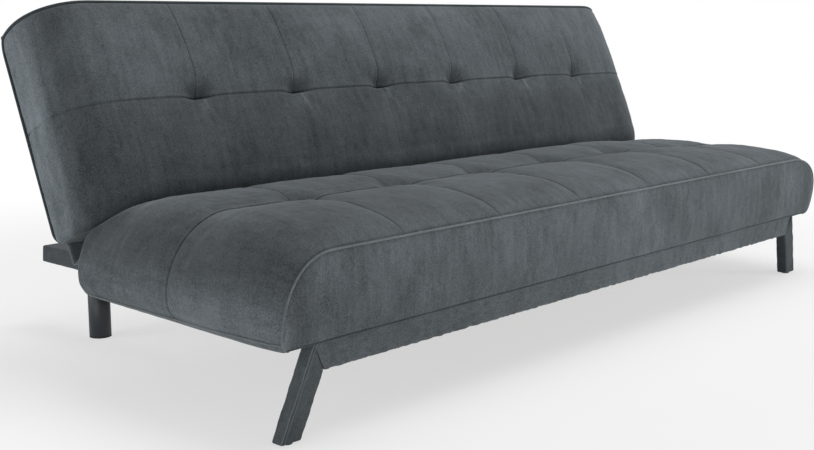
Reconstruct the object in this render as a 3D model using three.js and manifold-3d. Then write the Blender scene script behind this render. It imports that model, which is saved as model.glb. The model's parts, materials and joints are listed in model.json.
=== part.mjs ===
// Click clack sofa bed: a tufted seat pad and a tufted back pad on timber frames, joined by two
// ratchet hinges over a low base. Upright it is a sofa, and with the back let down it is a bed.
// Millimetres. X runs along the width, Y from the front to the rear, Z up, floor at Z 0.

import * as THREE from "three";
import { mergeVertices } from "three/addons/utils/BufferGeometryUtils.js";
import Module from "manifold-3d";

const wasm = await Module();
wasm.setup();

// Clearances shared by all pieces
const FIT = 0.3; // between two pieces that touch
const OVERRUN = 2; // how far a cut runs past the face that it opens

// Seat pad
const PAD_WIDTH = 2000;
const END_PANEL = 307.5; // from a pad's end to its first cross seam
const SEAM_COUNT = 6;
const SEAT_DEPTH = 584;
const SEAT_UNDERSIDE = 178;
const SEAT_EDGE = 166; // thickness at the piped front edge
const SEAT_CROWN = 44;
const SEAT_END_ROUND = 240; // how far the rounded ends reach inwards
const SEAT_TUFT_Y = 276;
const SEAT_FRONT_SWELL = 7;
const SEAT_SHOULDER_LENGTH = 108; // the rear edge falls away under the back
const SEAT_SHOULDER_DROP = 82;

// Back pad, measured along its own length and thickness
const BACK_LENGTH = 462;
const BACK_EDGE = 157;
const BACK_CROWN = 34;
const BACK_END_ROUND = 132;
const BACK_END_BASE = 45; // thickness below which the ends run straight to the rear hem
const BACK_END_SPREAD = 9; // the ends stand out past the pad's width at that place
const BACK_HEM_INSET = 1; // and the rear hem lies inside it
const BACK_TUFT_RISE = 235;
const BACK_TOP_SWELL = 6;
const BACK_SHOULDER_LENGTH = 70; // the lower front edge is rounded over this length
const BACK_SHOULDER_DROP = 62;
const BACK_TILT = 23.6; // degrees back from upright

// Sewing
const TUFT_SINK = 17;
const TUFT_REACH = 46;
const SEAM_SINK = 7;
const SEAM_REACH = 20;

// How the padding swells: exponents, and shares of the crown and of an end panel
const END_CURVE = 2.2; // of the rounded ends' superellipse
const END_PADDING_POWER = 0.8; // how fast the padding thins towards the hems
const END_ANGLES = [16, 30, 43, 55, 66, 76, 84]; // degrees down from the top of a rounded end
const CROWN_FLATNESS = 3;
const CROWN_FULLNESS = 0.7;
const FULL_SINK_SHARE = 0.5; // of the crown, above which the sewing has its full depth
const PANEL_RING_WIDTH_SHARE = 0.93;
const PANEL_RING_HEIGHT_SHARE = 0.8;
const PANEL_RING_SWELL_SHARE = 0.8;
const PUFF_SHARES = [0.25, 0.5, 0.75]; // places between two seams
const SEAT_ROW_SHARES = [0, 0.02, 0.06, 0.14, 0.25, 0.36, 0.6, 0.72]; // of the seat's depth
const SEAT_SHOULDER_SHARES = [[0.17, 0.05], [0.3, 0.2], [0.41, 0.42], [0.54, 0.67], [0.71, 0.84], [1, 1]];
const BACK_SHOULDER_SHARES = [0, 0.08, 0.25, 0.5, 0.75];
const BACK_ROW_SHARES = [0.28, 0.4, 0.66, 0.78, 0.88, 0.95, 0.985, 1]; // of the back's length

// Base
const RAIL_SETBACK = 12;
const RAIL_THICKNESS = 25;
const RAIL_DROP = 56; // height of the front rail below the pad
const LEG_TOP_INSET = 88; // from the pad's end to a front leg's outer edge where it meets the pad
const LEG_FOOT_INSET = 24.5;
const LEG_WIDTH = 47;
const LEG_TOP_FRONT = 8;
const LEG_FOOT_FRONT = 25;
const LEG_DEPTH = 29;
const BEAM_INSET = 216; // from the pad's end to the beam's middle
const BEAM_WIDTH = 50;
const BEAM_HEIGHT = 40;
const BEAM_TOP = 192;
const BEAM_OVERHANG = 23; // behind the back when it lies flat
const BEAM_END_SLOPE = 14; // the beam's rear end leans back towards its top
const CROSS_THICKNESS = 25;
const CROSS_TOP_DROP = 2; // the rear cross rail lies this far below the beams' tops
const MID_CROSS_Y = 300;
const REAR_LEG_INSET = 195; // from the beam's rear end
const REAR_LEG_RADIUS = 25;
const REAR_LEG_WALL = 2;
const LEG_PLATE_LENGTH = 72;
const LEG_PLATE_THICKNESS = 3;
const GLIDE_HEIGHT = 3;
const GLIDE_RADIUS = 11;
const GLIDE_PLUG = 14;

// Timber frames inside the pads
const FRAME_RAIL = 25; // thickness of every frame rail
const FRAME_END_INSET = 95; // from the pad's end to the seat frame
const SEAT_FRAME_FRONT = 46;
const FRAME_REAR_INSET = 18; // from the seat pad's rear edge to its frame
const SIDE_RAIL_HEIGHT = 70;
const CROSS_RAIL_HEIGHT = 36;
const SLAT_WIDTH = 62;
const SLAT_THICKNESS = 12;
const SLAT_COUNT = 5;
const COVER_THICKNESS = 1.4;
const COVER_INSET = 20;
const COVER_END_GAP = 4;
const BACK_FRAME_START = 20; // from the bottom panel to the frame
const BACK_FRAME_DEPTH = 42;
const BACK_FRAME_SETIN = 12; // from the rear hem to the frame

// Ratchet hinges
const BED_GAP = 0.4; // the back lies this far above the beams when flat
const PAD_GAP_FLAT = 9; // between the pads when flat
const PIVOT_BELOW_PANEL = 20; // from the back's bottom panel to the pivot
const PIVOT_FROM_HEM = 102.4; // from the back's rear hem to the pivot
const RECLINE_RANGE = 90 - BACK_TILT; // degrees from upright to flat
const UNLOCK_RANGE = 10; // and forwards, where the ratchet lets go
const PLATE_THICKNESS = 4;
const BOSS_RADIUS = 18;
const TOOTH_ROOT = 27;
const TOOTH_TIP = 31;
const TOOTH_PITCH = 9.5; // degrees
const WINDOW_RADIUS = 52;
const BAND_RADIUS = 64;
const WINDOW_START_MARGIN = 10; // degrees past the pawl's sweep at either end
const WINDOW_END_MARGIN = 7;
const SPOKE_ANGLE = 7;
const BAND_BOLT_RADIUS = 58;
const BAND_BOLT_ANGLES = [228, 252];
const PIVOT_BOLT_RADIUS = 6;
const PIVOT_HEAD_RADIUS = 10;
const PIVOT_HEAD_HEIGHT = 5;
const RUNNING_FIT = 0.35;
const PAWL_ORBIT = 43;
const PAWL_OFFSET = 177; // degrees from the back's length direction to the pawl pin
const PAWL_TIP_OFFSET = 15; // degrees ahead of the pin
const PAWL_TIP_ORBIT = 34.4;
const PAWL_TIP_RADIUS = 2.6;
const PAWL_BOSS_RADIUS = 6.4;
const PAWL_PIN_RADIUS = 3;
const PAWL_HEAD_RADIUS = 5;
const PAWL_HEAD_HEIGHT = 2;
const ARM_TAIL_RADIUS = 8;
const ARM_END_RADIUS = 14;
const ARM_END_RISE = 142; // the arm's far end, above the bottom panel
const ARM_END_FROM_HEM = 31;
const ARM_BOLT_RISES = [112, 138];
const BOLT_RADIUS = 3;
const BOLT_HEAD_RADIUS = 5;
const BOLT_HEAD_HEIGHT = 3;
const BOLT_LENGTH = 20;
const SPRING_WIRE = 1;
const SPRING_TURNS = 2;
const SPRING_PITCH = 2.5;
const SPRING_CLEARANCE = 0.4;
const SLOT_CLEARANCE = 4; // round a hinge, inside its slot in a pad
const SLOT_HEADROOM = 26; // from the pivot up to the top of the seat's slot

// Fabric hinge strip behind the seat, with its heights given as drops from the seat's rear edge
const STRIP_THICKNESS = 2;
const STRIP_END_INSET = 15;
const STRIP_LOW_REACH = 63; // from the seat pad back to the low point of the V
const STRIP_LOW_DROP = 58;
const STRIP_TOP_DROP = 6;
const STRIP_HEM_SETIN = 5;
const STRIP_NOTCH_DROP = 36; // down to the lower edge of the notches for the hinges

// Facets of round pieces
const TUBE_SIDES = 32;
const GLIDE_SIDES = 24;
const PIN_SIDES = 16;
const HOLE_SIDES = 8;
const BAND_STEPS = 20;
const BOSS_STEPS = 16;
const WINDOW_STEPS = 18;
const SPRING_STEPS = 8; // in each turn
const WIRE_SIDES = 3;

// Places worked out from the sizes above
const RAD = Math.PI / 180;
const HALF_WIDTH = PAD_WIDTH / 2;
const PANEL_PITCH = (PAD_WIDTH - 2 * END_PANEL) / (SEAM_COUNT - 1); // from seam to seam
const LEG_TOP_X = HALF_WIDTH - LEG_TOP_INSET;
const LEG_FOOT_X = HALF_WIDTH - LEG_FOOT_INSET;
const BEAM_CENTRE_X = HALF_WIDTH - BEAM_INSET;
const BEAM_REAR_Y = SEAT_DEPTH + PAD_GAP_FLAT + BACK_LENGTH + BEAM_OVERHANG;
const REAR_LEG_Y = BEAM_REAR_Y - REAR_LEG_INSET;
const SEAT_FRAME_END = HALF_WIDTH - FRAME_END_INSET;
const SEAT_FRAME_REAR = SEAT_DEPTH - FRAME_REAR_INSET;
const RAIL_TOP = SEAT_UNDERSIDE - FIT;
const RAIL_BOTTOM = SEAT_UNDERSIDE - RAIL_DROP;
const RAIL_REAR = RAIL_SETBACK + RAIL_THICKNESS;
const PIVOT_Y = SEAT_DEPTH + PAD_GAP_FLAT - PIVOT_BELOW_PANEL;
const PIVOT_Z = BEAM_TOP + BED_GAP + PIVOT_FROM_HEM;
const SEAM_PLACES = Array.from({ length: SEAM_COUNT }, (_, i) => (i - (SEAM_COUNT - 1) / 2) * PANEL_PITCH);
const SEAT_FRAME_BOTTOM = BEAM_TOP + FIT;
const RAIL_INNER_X = SEAT_FRAME_END - FRAME_RAIL;
const PLATE_OUTER_X = RAIL_INNER_X - FIT;
const PLATE_INNER_X = PLATE_OUTER_X - PLATE_THICKNESS;
const ARM_OUTER_X = PLATE_INNER_X - 2 * FIT;
const ARM_INNER_X = ARM_OUTER_X - PLATE_THICKNESS;
const UPRIGHT_INNER_X = ARM_OUTER_X + FIT;
const SLOT_INNER_X = ARM_INNER_X - PIVOT_HEAD_HEIGHT - SLOT_CLEARANCE;
const SLOT_OUTER_X = RAIL_INNER_X + PIVOT_HEAD_HEIGHT + OVERRUN;
const DEPTH_SHIFT = (SEAT_FRONT_SWELL - BEAM_REAR_Y) / 2;
// the pawl's window in degrees from the rearward direction, counted upwards
const PAWL_ANGLE = 90 - BACK_TILT + PAWL_OFFSET;
const WINDOW_START = PAWL_ANGLE - RECLINE_RANGE - WINDOW_START_MARGIN;
const WINDOW_END = PAWL_ANGLE + PAWL_TIP_OFFSET + UNLOCK_RANGE + WINDOW_END_MARGIN;
const TOOTH_COUNT = Math.floor((WINDOW_END - WINDOW_START) / TOOTH_PITCH);

// Materials
const VELVET = { color: 0x59626a, roughness: 0.9, metalness: 0 };
const TIMBER = { color: 0xc9a777, roughness: 0.7, metalness: 0 };
const STEEL = { color: 0x9a9fa4, roughness: 0.35, metalness: 0.9 };
const BLACK_STEEL = { color: 0x1d2024, roughness: 0.4, metalness: 0.6 };
const PLASTIC = { color: 0x17181a, roughness: 0.6, metalness: 0 };
const DUST_CLOTH = { color: 0x202124, roughness: 0.95, metalness: 0 };

const sofa = new THREE.Group();
sofa.position.y = DEPTH_SHIFT;

// The back's own group has its origin on the pivot: X along the width, Z up the back's length
// and minus Y out of its front face.
const back = new THREE.Group();
back.position.set(0, PIVOT_Y, PIVOT_Z);
back.rotation.x = -BACK_TILT * RAD;
sofa.add(back);

function place(parent, name, geometry, finish) {
  const mesh = new THREE.Mesh(geometry, new THREE.MeshStandardMaterial(finish));
  mesh.name = name;
  parent.add(mesh);
  return mesh;
}

// Solids for cutting and joining
function toSolid(geometry) {
  const plain = new THREE.BufferGeometry();
  plain.setAttribute("position", geometry.getAttribute("position").clone());
  if (geometry.index) plain.setIndex(geometry.index.clone());
  const merged = mergeVertices(plain);
  const mesh = new wasm.Mesh({
    numProp: 3,
    vertProperties: new Float32Array(merged.getAttribute("position").array),
    triVerts: new Uint32Array(merged.index.array),
  });
  return new wasm.Manifold(mesh);
}

function toGeometry(solid) {
  const mesh = solid.getMesh();
  const geometry = new THREE.BufferGeometry();
  geometry.setAttribute("position", new THREE.BufferAttribute(new Float32Array(mesh.vertProperties), 3));
  geometry.setIndex(new THREE.BufferAttribute(new Uint32Array(mesh.triVerts), 1));
  geometry.computeVertexNormals();
  return geometry;
}

function cut(geometry, tools) {
  let solid = toSolid(geometry);
  for (const tool of tools) solid = solid.subtract(toSolid(tool));
  return toGeometry(solid);
}

function join(geometries) {
  let solid = toSolid(geometries[0]);
  for (const other of geometries.slice(1)) solid = solid.add(toSolid(other));
  return toGeometry(solid);
}

// A box between two corners, each given as low and high values
function boxBetween(x, y, z) {
  const box = new THREE.BoxGeometry(x[1] - x[0], y[1] - y[0], z[1] - z[0]);
  return box.translate((x[0] + x[1]) / 2, (y[0] + y[1]) / 2, (z[0] + z[1]) / 2);
}

// The same box on the left or the right: side is -1 or 1
function sideBox(side, x, y, z) {
  return boxBetween(side > 0 ? x : [-x[1], -x[0]], y, z);
}

// An outline in the YZ plane given thickness along X, between two X values
function plateAlongX(shape, x, curveSegments = BOSS_STEPS) {
  const options = { depth: x[1] - x[0], bevelEnabled: false, curveSegments };
  const plate = new THREE.ExtrudeGeometry(shape, options);
  // the outline's own axes turn from X and Y to Y and Z
  plate.rotateZ(Math.PI / 2).rotateY(Math.PI / 2);
  return plate.translate(x[0], 0, 0);
}

function polar(radius, degrees) {
  return [radius * Math.cos(degrees * RAD), radius * Math.sin(degrees * RAD)];
}

// Padded blocks

// Height share of the crown at a place along a pad's length: none at the edges, full in the middle
function crownRise(share) {
  const fromMiddle = Math.abs(2 * share - 1);
  return Math.pow(Math.max(1 - Math.pow(fromMiddle, CROWN_FLATNESS), 0), CROWN_FULLNESS);
}

// One place of a pad's cross-section: x and thickness, and the direction in which padding swells
function sectionColumns(pad) {
  const columns = [];
  const flatEnd = pad.halfWidth + pad.endSpread - pad.endRound;
  const places = [];
  for (const seam of SEAM_PLACES) {
    for (const share of [-1, 0, 1]) places.push(seam + share * SEAM_REACH);
  }
  for (let i = 0; i + 1 < SEAM_PLACES.length; i += 1) {
    for (const share of PUFF_SHARES) places.push(SEAM_PLACES[i] + share * PANEL_PITCH);
  }
  for (const x of [...places, -flatEnd, flatEnd]) columns.push({ x, t: pad.edge, nx: 0, nt: 1, weight: 1 });
  const height = pad.edge - pad.endBase;
  const power = 2 / END_CURVE;
  for (const degrees of END_ANGLES) {
    const s = Math.sin(degrees * RAD);
    const c = Math.cos(degrees * RAD);
    const x = flatEnd + pad.endRound * Math.pow(s, power);
    const t = pad.endBase + height * Math.pow(c, power);
    const steep = Math.hypot(height * s, pad.endRound * c);
    const [nx, nt] = [(height * s) / steep, (pad.endRound * c) / steep];
    const weight = Math.pow(c, END_PADDING_POWER);
    for (const side of [-1, 1]) columns.push({ x: side * x, t, nx: side * nx, nt, weight });
  }
  const widest = pad.halfWidth + pad.endSpread;
  for (const side of [-1, 1]) {
    if (pad.endBase > 0) columns.push({ x: side * widest, t: pad.endBase, nx: 0, nt: 0, weight: 0 });
    const hem = pad.halfWidth - pad.hemInset;
    columns.push({ x: side * hem, t: 0, nx: 0, nt: 0, weight: 0 });
  }
  // in order round the section, from the left hem over the top to the right hem
  const around = (p) => Math.atan2(p.x, p.t + pad.edge) + (p.t === 0 ? Math.sign(p.x) : 0);
  return columns.sort((a, b) => around(a) - around(b));
}

// How far the padding stands out at a place: the crown, less its seams and tufts
function padding(pad, x, length) {
  const share = length / pad.length;
  const rise = crownRise(share);
  const seamDistance = Math.min(...SEAM_PLACES.map((seam) => Math.abs(x - seam)));
  const crossSeam = Math.exp(-Math.pow(seamDistance / SEAM_REACH, 2));
  const along = length - pad.tuftAt;
  const longSeam = Math.exp(-Math.pow(along / SEAM_REACH, 2));
  const tuft = Math.exp(-(seamDistance * seamDistance + along * along) / (TUFT_REACH * TUFT_REACH));
  const sunk = SEAM_SINK * Math.max(crossSeam, longSeam) + (TUFT_SINK - SEAM_SINK) * tuft;
  return pad.crown * rise - sunk * Math.min(rise / FULL_SINK_SHARE, 1);
}

// One row of points over the pad. A scale below 1 lowers the whole section at a rounded edge, and
// a room holds it below the height that is free there.
function padRow(pad, columns, row) {
  return columns.map((c) => {
    const out = c.weight > 0 ? padding(pad, c.x, row.paddedAt) * c.weight : 0;
    const x = c.x + c.nx * out;
    const t = (c.t + c.nt * out) * row.scale;
    return [x, row.length, row.room ? Math.min(t, row.room(x)) : t];
  });
}

// A closed block: rows over the padded top, a swelling panel at each end and a flat underside
function paddedBlock(pad) {
  const columns = sectionColumns(pad);
  const rows = pad.rows.map((row) => padRow(pad, columns, row));
  const points = rows.flat();
  const count = columns.length;
  const triangles = [];
  for (let r = 0; r + 1 < rows.length; r += 1) {
    for (let c = 0; c + 1 < count; c += 1) {
      const [a, b] = [r * count + c, r * count + c + 1];
      const [d, e] = [a + count, b + count];
      triangles.push([a, b, e], [a, e, d]);
    }
  }
  // end panels: a ring drawn in from the outline, then a middle point
  const closeEnd = (first, length, swell, flip) => {
    const outline = points.slice(first, first + count);
    const middle = outline.reduce((sum, p) => sum + p[2], 0) / count / 2;
    const ringStart = points.length;
    for (const p of outline) {
      points.push([p[0] * PANEL_RING_WIDTH_SHARE, length + swell * PANEL_RING_SWELL_SHARE,
        middle + (p[2] - middle) * PANEL_RING_HEIGHT_SHARE]);
    }
    points.push([0, length + swell, middle]);
    const centre = points.length - 1;
    const add = (a, b, c) => triangles.push(flip ? [a, c, b] : [a, b, c]);
    for (let c = 0; c < count; c += 1) {
      const n = (c + 1) % count;
      add(first + c, ringStart + c, ringStart + n);
      add(first + c, ringStart + n, first + n);
      add(ringStart + c, centre, ringStart + n);
    }
  };
  closeEnd(0, 0, -pad.nearSwell, false);
  closeEnd((rows.length - 1) * count, pad.length, pad.farSwell, true);
  // underside: a fan from its middle over the two hems
  points.push([0, pad.length / 2, 0]);
  const under = points.length - 1;
  for (let r = 0; r + 1 < rows.length; r += 1) {
    const [leftHere, leftNext] = [r * count, (r + 1) * count];
    const [rightHere, rightNext] = [leftHere + count - 1, leftNext + count - 1];
    triangles.push([leftHere, leftNext, under], [rightHere, under, rightNext]);
  }
  const last = (rows.length - 1) * count;
  triangles.push([0, under, count - 1], [last, last + count - 1, under]);
  const geometry = new THREE.BufferGeometry();
  const places = points.map((p) => pad.toPlace(p)).flat();
  geometry.setAttribute("position", new THREE.BufferAttribute(new Float32Array(places), 3));
  geometry.setIndex(triangles.flat());
  return geometry;
}

// Rows at shares of the length, with the tuft row and its two neighbours among them
function evenRows(pad, shares) {
  const tuftRows = [-SEAM_REACH, 0, SEAM_REACH].map((step) => pad.tuftAt + step);
  const lengths = [...shares.map((share) => share * pad.length), ...tuftRows].sort((a, b) => a - b);
  return lengths.map((length) => ({ length, paddedAt: length, scale: 1 }));
}

const seatPad = {
  halfWidth: HALF_WIDTH,
  length: SEAT_DEPTH,
  edge: SEAT_EDGE,
  crown: SEAT_CROWN,
  endRound: SEAT_END_ROUND,
  endBase: 0,
  endSpread: 0,
  hemInset: 0,
  tuftAt: SEAT_TUFT_Y,
  nearSwell: SEAT_FRONT_SWELL,
  farSwell: 0,
  toPlace: ([x, length, t]) => [x, length, SEAT_UNDERSIDE + t],
};
const seatShoulderStart = SEAT_DEPTH - SEAT_SHOULDER_LENGTH;
const seatShoulderTop = SEAT_EDGE + SEAT_CROWN * crownRise(seatShoulderStart / SEAT_DEPTH);

// How much thinner the back's rounded ends are than its middle
function backEndDepth(x) {
  const flatEnd = HALF_WIDTH + BACK_END_SPREAD - BACK_END_ROUND;
  const across = Math.min(Math.max((Math.abs(x) - flatEnd) / BACK_END_ROUND, 0), 1);
  const height = Math.pow(1 - Math.pow(across, END_CURVE), 1 / END_CURVE);
  return (BACK_EDGE - BACK_END_BASE) * (1 - height);
}

// The shoulder's drop, as a share, at a place along it
function shoulderDropShare(along) {
  const table = [[0, 0], ...SEAT_SHOULDER_SHARES];
  const next = table.findIndex(([place]) => place >= along);
  if (next < 1) return next === 0 ? 0 : 1;
  const [[fromPlace, fromDrop], [toPlace, toDrop]] = [table[next - 1], table[next]];
  return fromDrop + ((toDrop - fromDrop) * (along - fromPlace)) / (toPlace - fromPlace);
}

// The height that the back leaves free over the seat's shoulder. It starts further to the rear
// where the back is thin, so that the seat's ends stay full.
function seatRoom(x, along) {
  const relief = (backEndDepth(x) * Math.cos(BACK_TILT * RAD)) / SEAT_SHOULDER_LENGTH;
  return seatShoulderTop - shoulderDropShare(along - relief) * SEAT_SHOULDER_DROP;
}

seatPad.rows = [
  ...evenRows(seatPad, [...SEAT_ROW_SHARES, seatShoulderStart / SEAT_DEPTH]),
  ...SEAT_SHOULDER_SHARES.map(([along]) => ({
    length: seatShoulderStart + along * SEAT_SHOULDER_LENGTH,
    paddedAt: seatShoulderStart,
    scale: 1,
    room: (x) => seatRoom(x, along),
  })),
];
const SEAT_REAR_TOP = SEAT_UNDERSIDE + seatShoulderTop - SEAT_SHOULDER_DROP;

const backPad = {
  halfWidth: HALF_WIDTH,
  length: BACK_LENGTH,
  edge: BACK_EDGE,
  crown: BACK_CROWN,
  endRound: BACK_END_ROUND,
  endBase: BACK_END_BASE,
  endSpread: BACK_END_SPREAD,
  hemInset: BACK_HEM_INSET,
  tuftAt: BACK_TUFT_RISE,
  nearSwell: 0,
  farSwell: BACK_TOP_SWELL,
  toPlace: ([x, length, t]) => [x, PIVOT_FROM_HEM - t, PIVOT_BELOW_PANEL + length],
};
const backShoulderTop = BACK_EDGE + BACK_CROWN * crownRise(BACK_SHOULDER_LENGTH / BACK_LENGTH);
backPad.rows = [
  ...BACK_SHOULDER_SHARES.map((along) => ({
    length: along * BACK_SHOULDER_LENGTH,
    paddedAt: BACK_SHOULDER_LENGTH,
    scale: 1 - (BACK_SHOULDER_DROP / backShoulderTop) * (1 - Math.sqrt(1 - Math.pow(1 - along, 2))),
  })),
  ...evenRows(backPad, [BACK_SHOULDER_LENGTH / BACK_LENGTH, ...BACK_ROW_SHARES]),
];

// Timber frames: each rail has low and high values in its pad's own place
const seatFrameTop = SEAT_FRAME_BOTTOM + CROSS_RAIL_HEIGHT;
const seatSlatTop = seatFrameTop + FIT + SLAT_THICKNESS;
const seatInnerX = [-RAIL_INNER_X + FIT, RAIL_INNER_X - FIT];
const seatFrame = [
  ["seat_frame_front_rail", seatInnerX, [SEAT_FRAME_FRONT, SEAT_FRAME_FRONT + FRAME_RAIL],
    [SEAT_FRAME_BOTTOM, seatFrameTop]],
  ["seat_frame_rear_rail", seatInnerX, [SEAT_FRAME_REAR - FRAME_RAIL, SEAT_FRAME_REAR],
    [SEAT_FRAME_BOTTOM, seatFrameTop]],
  ["seat_frame_side_rail_left", [-SEAT_FRAME_END, -RAIL_INNER_X], [SEAT_FRAME_FRONT, SEAT_FRAME_REAR],
    [SEAT_FRAME_BOTTOM, SEAT_FRAME_BOTTOM + SIDE_RAIL_HEIGHT]],
  ["seat_frame_side_rail_right", [RAIL_INNER_X, SEAT_FRAME_END], [SEAT_FRAME_FRONT, SEAT_FRAME_REAR],
    [SEAT_FRAME_BOTTOM, SEAT_FRAME_BOTTOM + SIDE_RAIL_HEIGHT]],
];
const slatPlaces = Array.from({ length: SLAT_COUNT }, (_, i) => (i - (SLAT_COUNT - 1) / 2) * PANEL_PITCH);
slatPlaces.forEach((x, i) => {
  seatFrame.push([`seat_slat_${i + 1}`, [x - SLAT_WIDTH / 2, x + SLAT_WIDTH / 2],
    [SEAT_FRAME_FRONT, SEAT_FRAME_REAR], [seatFrameTop + FIT, seatSlatTop]]);
});

const backFrameZ = [PIVOT_BELOW_PANEL + BACK_FRAME_START,
  PIVOT_BELOW_PANEL + BACK_LENGTH - BACK_FRAME_START];
const backFrameRearY = PIVOT_FROM_HEM - BACK_FRAME_SETIN;
const backFrameY = [backFrameRearY - BACK_FRAME_DEPTH, backFrameRearY];
const backInnerX = [-UPRIGHT_INNER_X + FIT, UPRIGHT_INNER_X - FIT];
const backFrame = [
  ["back_frame_bottom_rail", backInnerX, backFrameY, [backFrameZ[0], backFrameZ[0] + FRAME_RAIL]],
  ["back_frame_top_rail", backInnerX, backFrameY, [backFrameZ[1] - FRAME_RAIL, backFrameZ[1]]],
  ["back_frame_upright_left", [-UPRIGHT_INNER_X - FRAME_RAIL, -UPRIGHT_INNER_X], backFrameY, backFrameZ],
  ["back_frame_upright_right", [UPRIGHT_INNER_X, UPRIGHT_INNER_X + FRAME_RAIL], backFrameY, backFrameZ],
];
slatPlaces.forEach((x, i) => {
  backFrame.push([`back_slat_${i + 1}`, [x - SLAT_WIDTH / 2, x + SLAT_WIDTH / 2],
    [backFrameY[0] - FIT - SLAT_THICKNESS, backFrameY[0] - FIT], backFrameZ]);
});

// The groove that a frame piece needs in its pad, open on the pad's covered side
function groove([, x, y, z], openAxis, openTo) {
  const widen = (range) => [range[0] - FIT, range[1] + FIT];
  const room = { x: widen(x), y: widen(y), z: widen(z) };
  room[openAxis] = openAxis === "z" ? [openTo, room.z[1]] : [room.y[0], openTo];
  return boxBetween(room.x, room.y, room.z);
}

// Base: front rail, splayed front legs, beams, cross rails and rear legs

// The mitre between rail and leg runs from the leg's outer top corner to its inner lower corner
const legRun = LEG_FOOT_X - LEG_TOP_X;
const mitreLowX = LEG_TOP_X - LEG_WIDTH + (legRun * RAIL_DROP) / SEAT_UNDERSIDE;

function frontRail() {
  const shape = new THREE.Shape();
  shape.moveTo(-mitreLowX + FIT, RAIL_BOTTOM);
  shape.lineTo(mitreLowX - FIT, RAIL_BOTTOM);
  shape.lineTo(LEG_TOP_X - FIT, RAIL_TOP);
  shape.lineTo(-LEG_TOP_X + FIT, RAIL_TOP);
  shape.closePath();
  const rail = new THREE.ExtrudeGeometry(shape, { depth: RAIL_THICKNESS, bevelEnabled: false });
  return rail.rotateX(Math.PI / 2).translate(0, RAIL_REAR, 0);
}

function frontLeg(side) {
  const shape = new THREE.Shape();
  const footInner = LEG_FOOT_X - LEG_WIDTH;
  shape.moveTo(side * (mitreLowX + FIT), RAIL_BOTTOM);
  shape.lineTo(side * footInner, GLIDE_HEIGHT + FIT);
  shape.lineTo(side * LEG_FOOT_X, GLIDE_HEIGHT + FIT);
  shape.lineTo(side * (LEG_TOP_X + FIT), RAIL_TOP);
  shape.closePath();
  const leg = new THREE.ExtrudeGeometry(shape, { depth: LEG_DEPTH, bevelEnabled: false });
  leg.rotateX(Math.PI / 2).translate(0, LEG_DEPTH, 0);
  // the whole leg leans back towards its foot
  const lean = (LEG_FOOT_FRONT - LEG_TOP_FRONT) / RAIL_TOP;
  const position = leg.getAttribute("position");
  for (let i = 0; i < position.count; i += 1) {
    const drop = RAIL_TOP - position.getZ(i);
    position.setY(i, position.getY(i) + LEG_TOP_FRONT + drop * lean);
  }
  return leg;
}

function disc(radius, height) {
  return new THREE.CylinderGeometry(radius, radius, height, GLIDE_SIDES).rotateX(Math.PI / 2);
}

place(sofa, "front_rail", frontRail(), VELVET);
const sides = [["left", -1], ["right", 1]];
const beamX = [BEAM_CENTRE_X - BEAM_WIDTH / 2, BEAM_CENTRE_X + BEAM_WIDTH / 2];
const beamZ = [BEAM_TOP - BEAM_HEIGHT, BEAM_TOP];

function sideBeam(side) {
  const shape = new THREE.Shape();
  shape.moveTo(RAIL_REAR + FIT, beamZ[0]);
  shape.lineTo(BEAM_REAR_Y - BEAM_END_SLOPE, beamZ[0]);
  shape.lineTo(BEAM_REAR_Y, beamZ[1]);
  shape.lineTo(RAIL_REAR + FIT, beamZ[1]);
  shape.closePath();
  return plateAlongX(shape, side > 0 ? beamX : [-beamX[1], -beamX[0]]);
}

// A tube with a plastic cap pushed into its lower end
function rearLeg() {
  const top = beamZ[0] - LEG_PLATE_THICKNESS - 2 * FIT;
  const inner = REAR_LEG_RADIUS - REAR_LEG_WALL;
  const low = GLIDE_HEIGHT + FIT;
  const profile = [[inner, low], [REAR_LEG_RADIUS, low], [REAR_LEG_RADIUS, top], [inner, top], [inner, low]];
  const points = profile.map(([r, z]) => new THREE.Vector2(r, z));
  return new THREE.LatheGeometry(points, TUBE_SIDES).rotateX(Math.PI / 2);
}

function rearGlide() {
  const inner = REAR_LEG_RADIUS - REAR_LEG_WALL - FIT;
  const profile = [[0, 0], [REAR_LEG_RADIUS, 0], [REAR_LEG_RADIUS, GLIDE_HEIGHT], [inner, GLIDE_HEIGHT],
    [inner, GLIDE_PLUG], [0, GLIDE_PLUG]];
  const points = profile.map(([r, z]) => new THREE.Vector2(r, z));
  return new THREE.LatheGeometry(points, TUBE_SIDES).rotateX(Math.PI / 2);
}

for (const [word, side] of sides) {
  place(sofa, `front_leg_${word}`, frontLeg(side), VELVET);
  const foot = place(sofa, `front_glide_${word}`, disc(GLIDE_RADIUS, GLIDE_HEIGHT), PLASTIC);
  foot.position.set(side * (LEG_FOOT_X - LEG_WIDTH / 2), LEG_FOOT_FRONT + LEG_DEPTH / 2, GLIDE_HEIGHT / 2);
  place(sofa, `side_beam_${word}`, sideBeam(side), VELVET);
  const plateY = [REAR_LEG_Y - LEG_PLATE_LENGTH / 2, REAR_LEG_Y + LEG_PLATE_LENGTH / 2];
  const plateZ = [beamZ[0] - FIT - LEG_PLATE_THICKNESS, beamZ[0] - FIT];
  place(sofa, `rear_leg_plate_${word}`, sideBox(side, beamX, plateY, plateZ), BLACK_STEEL);
  const leg = place(sofa, `rear_leg_${word}`, rearLeg(), BLACK_STEEL);
  leg.position.set(side * BEAM_CENTRE_X, REAR_LEG_Y, 0);
  const cap = place(sofa, `rear_glide_${word}`, rearGlide(), PLASTIC);
  cap.position.set(side * BEAM_CENTRE_X, REAR_LEG_Y, 0);
}

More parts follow.
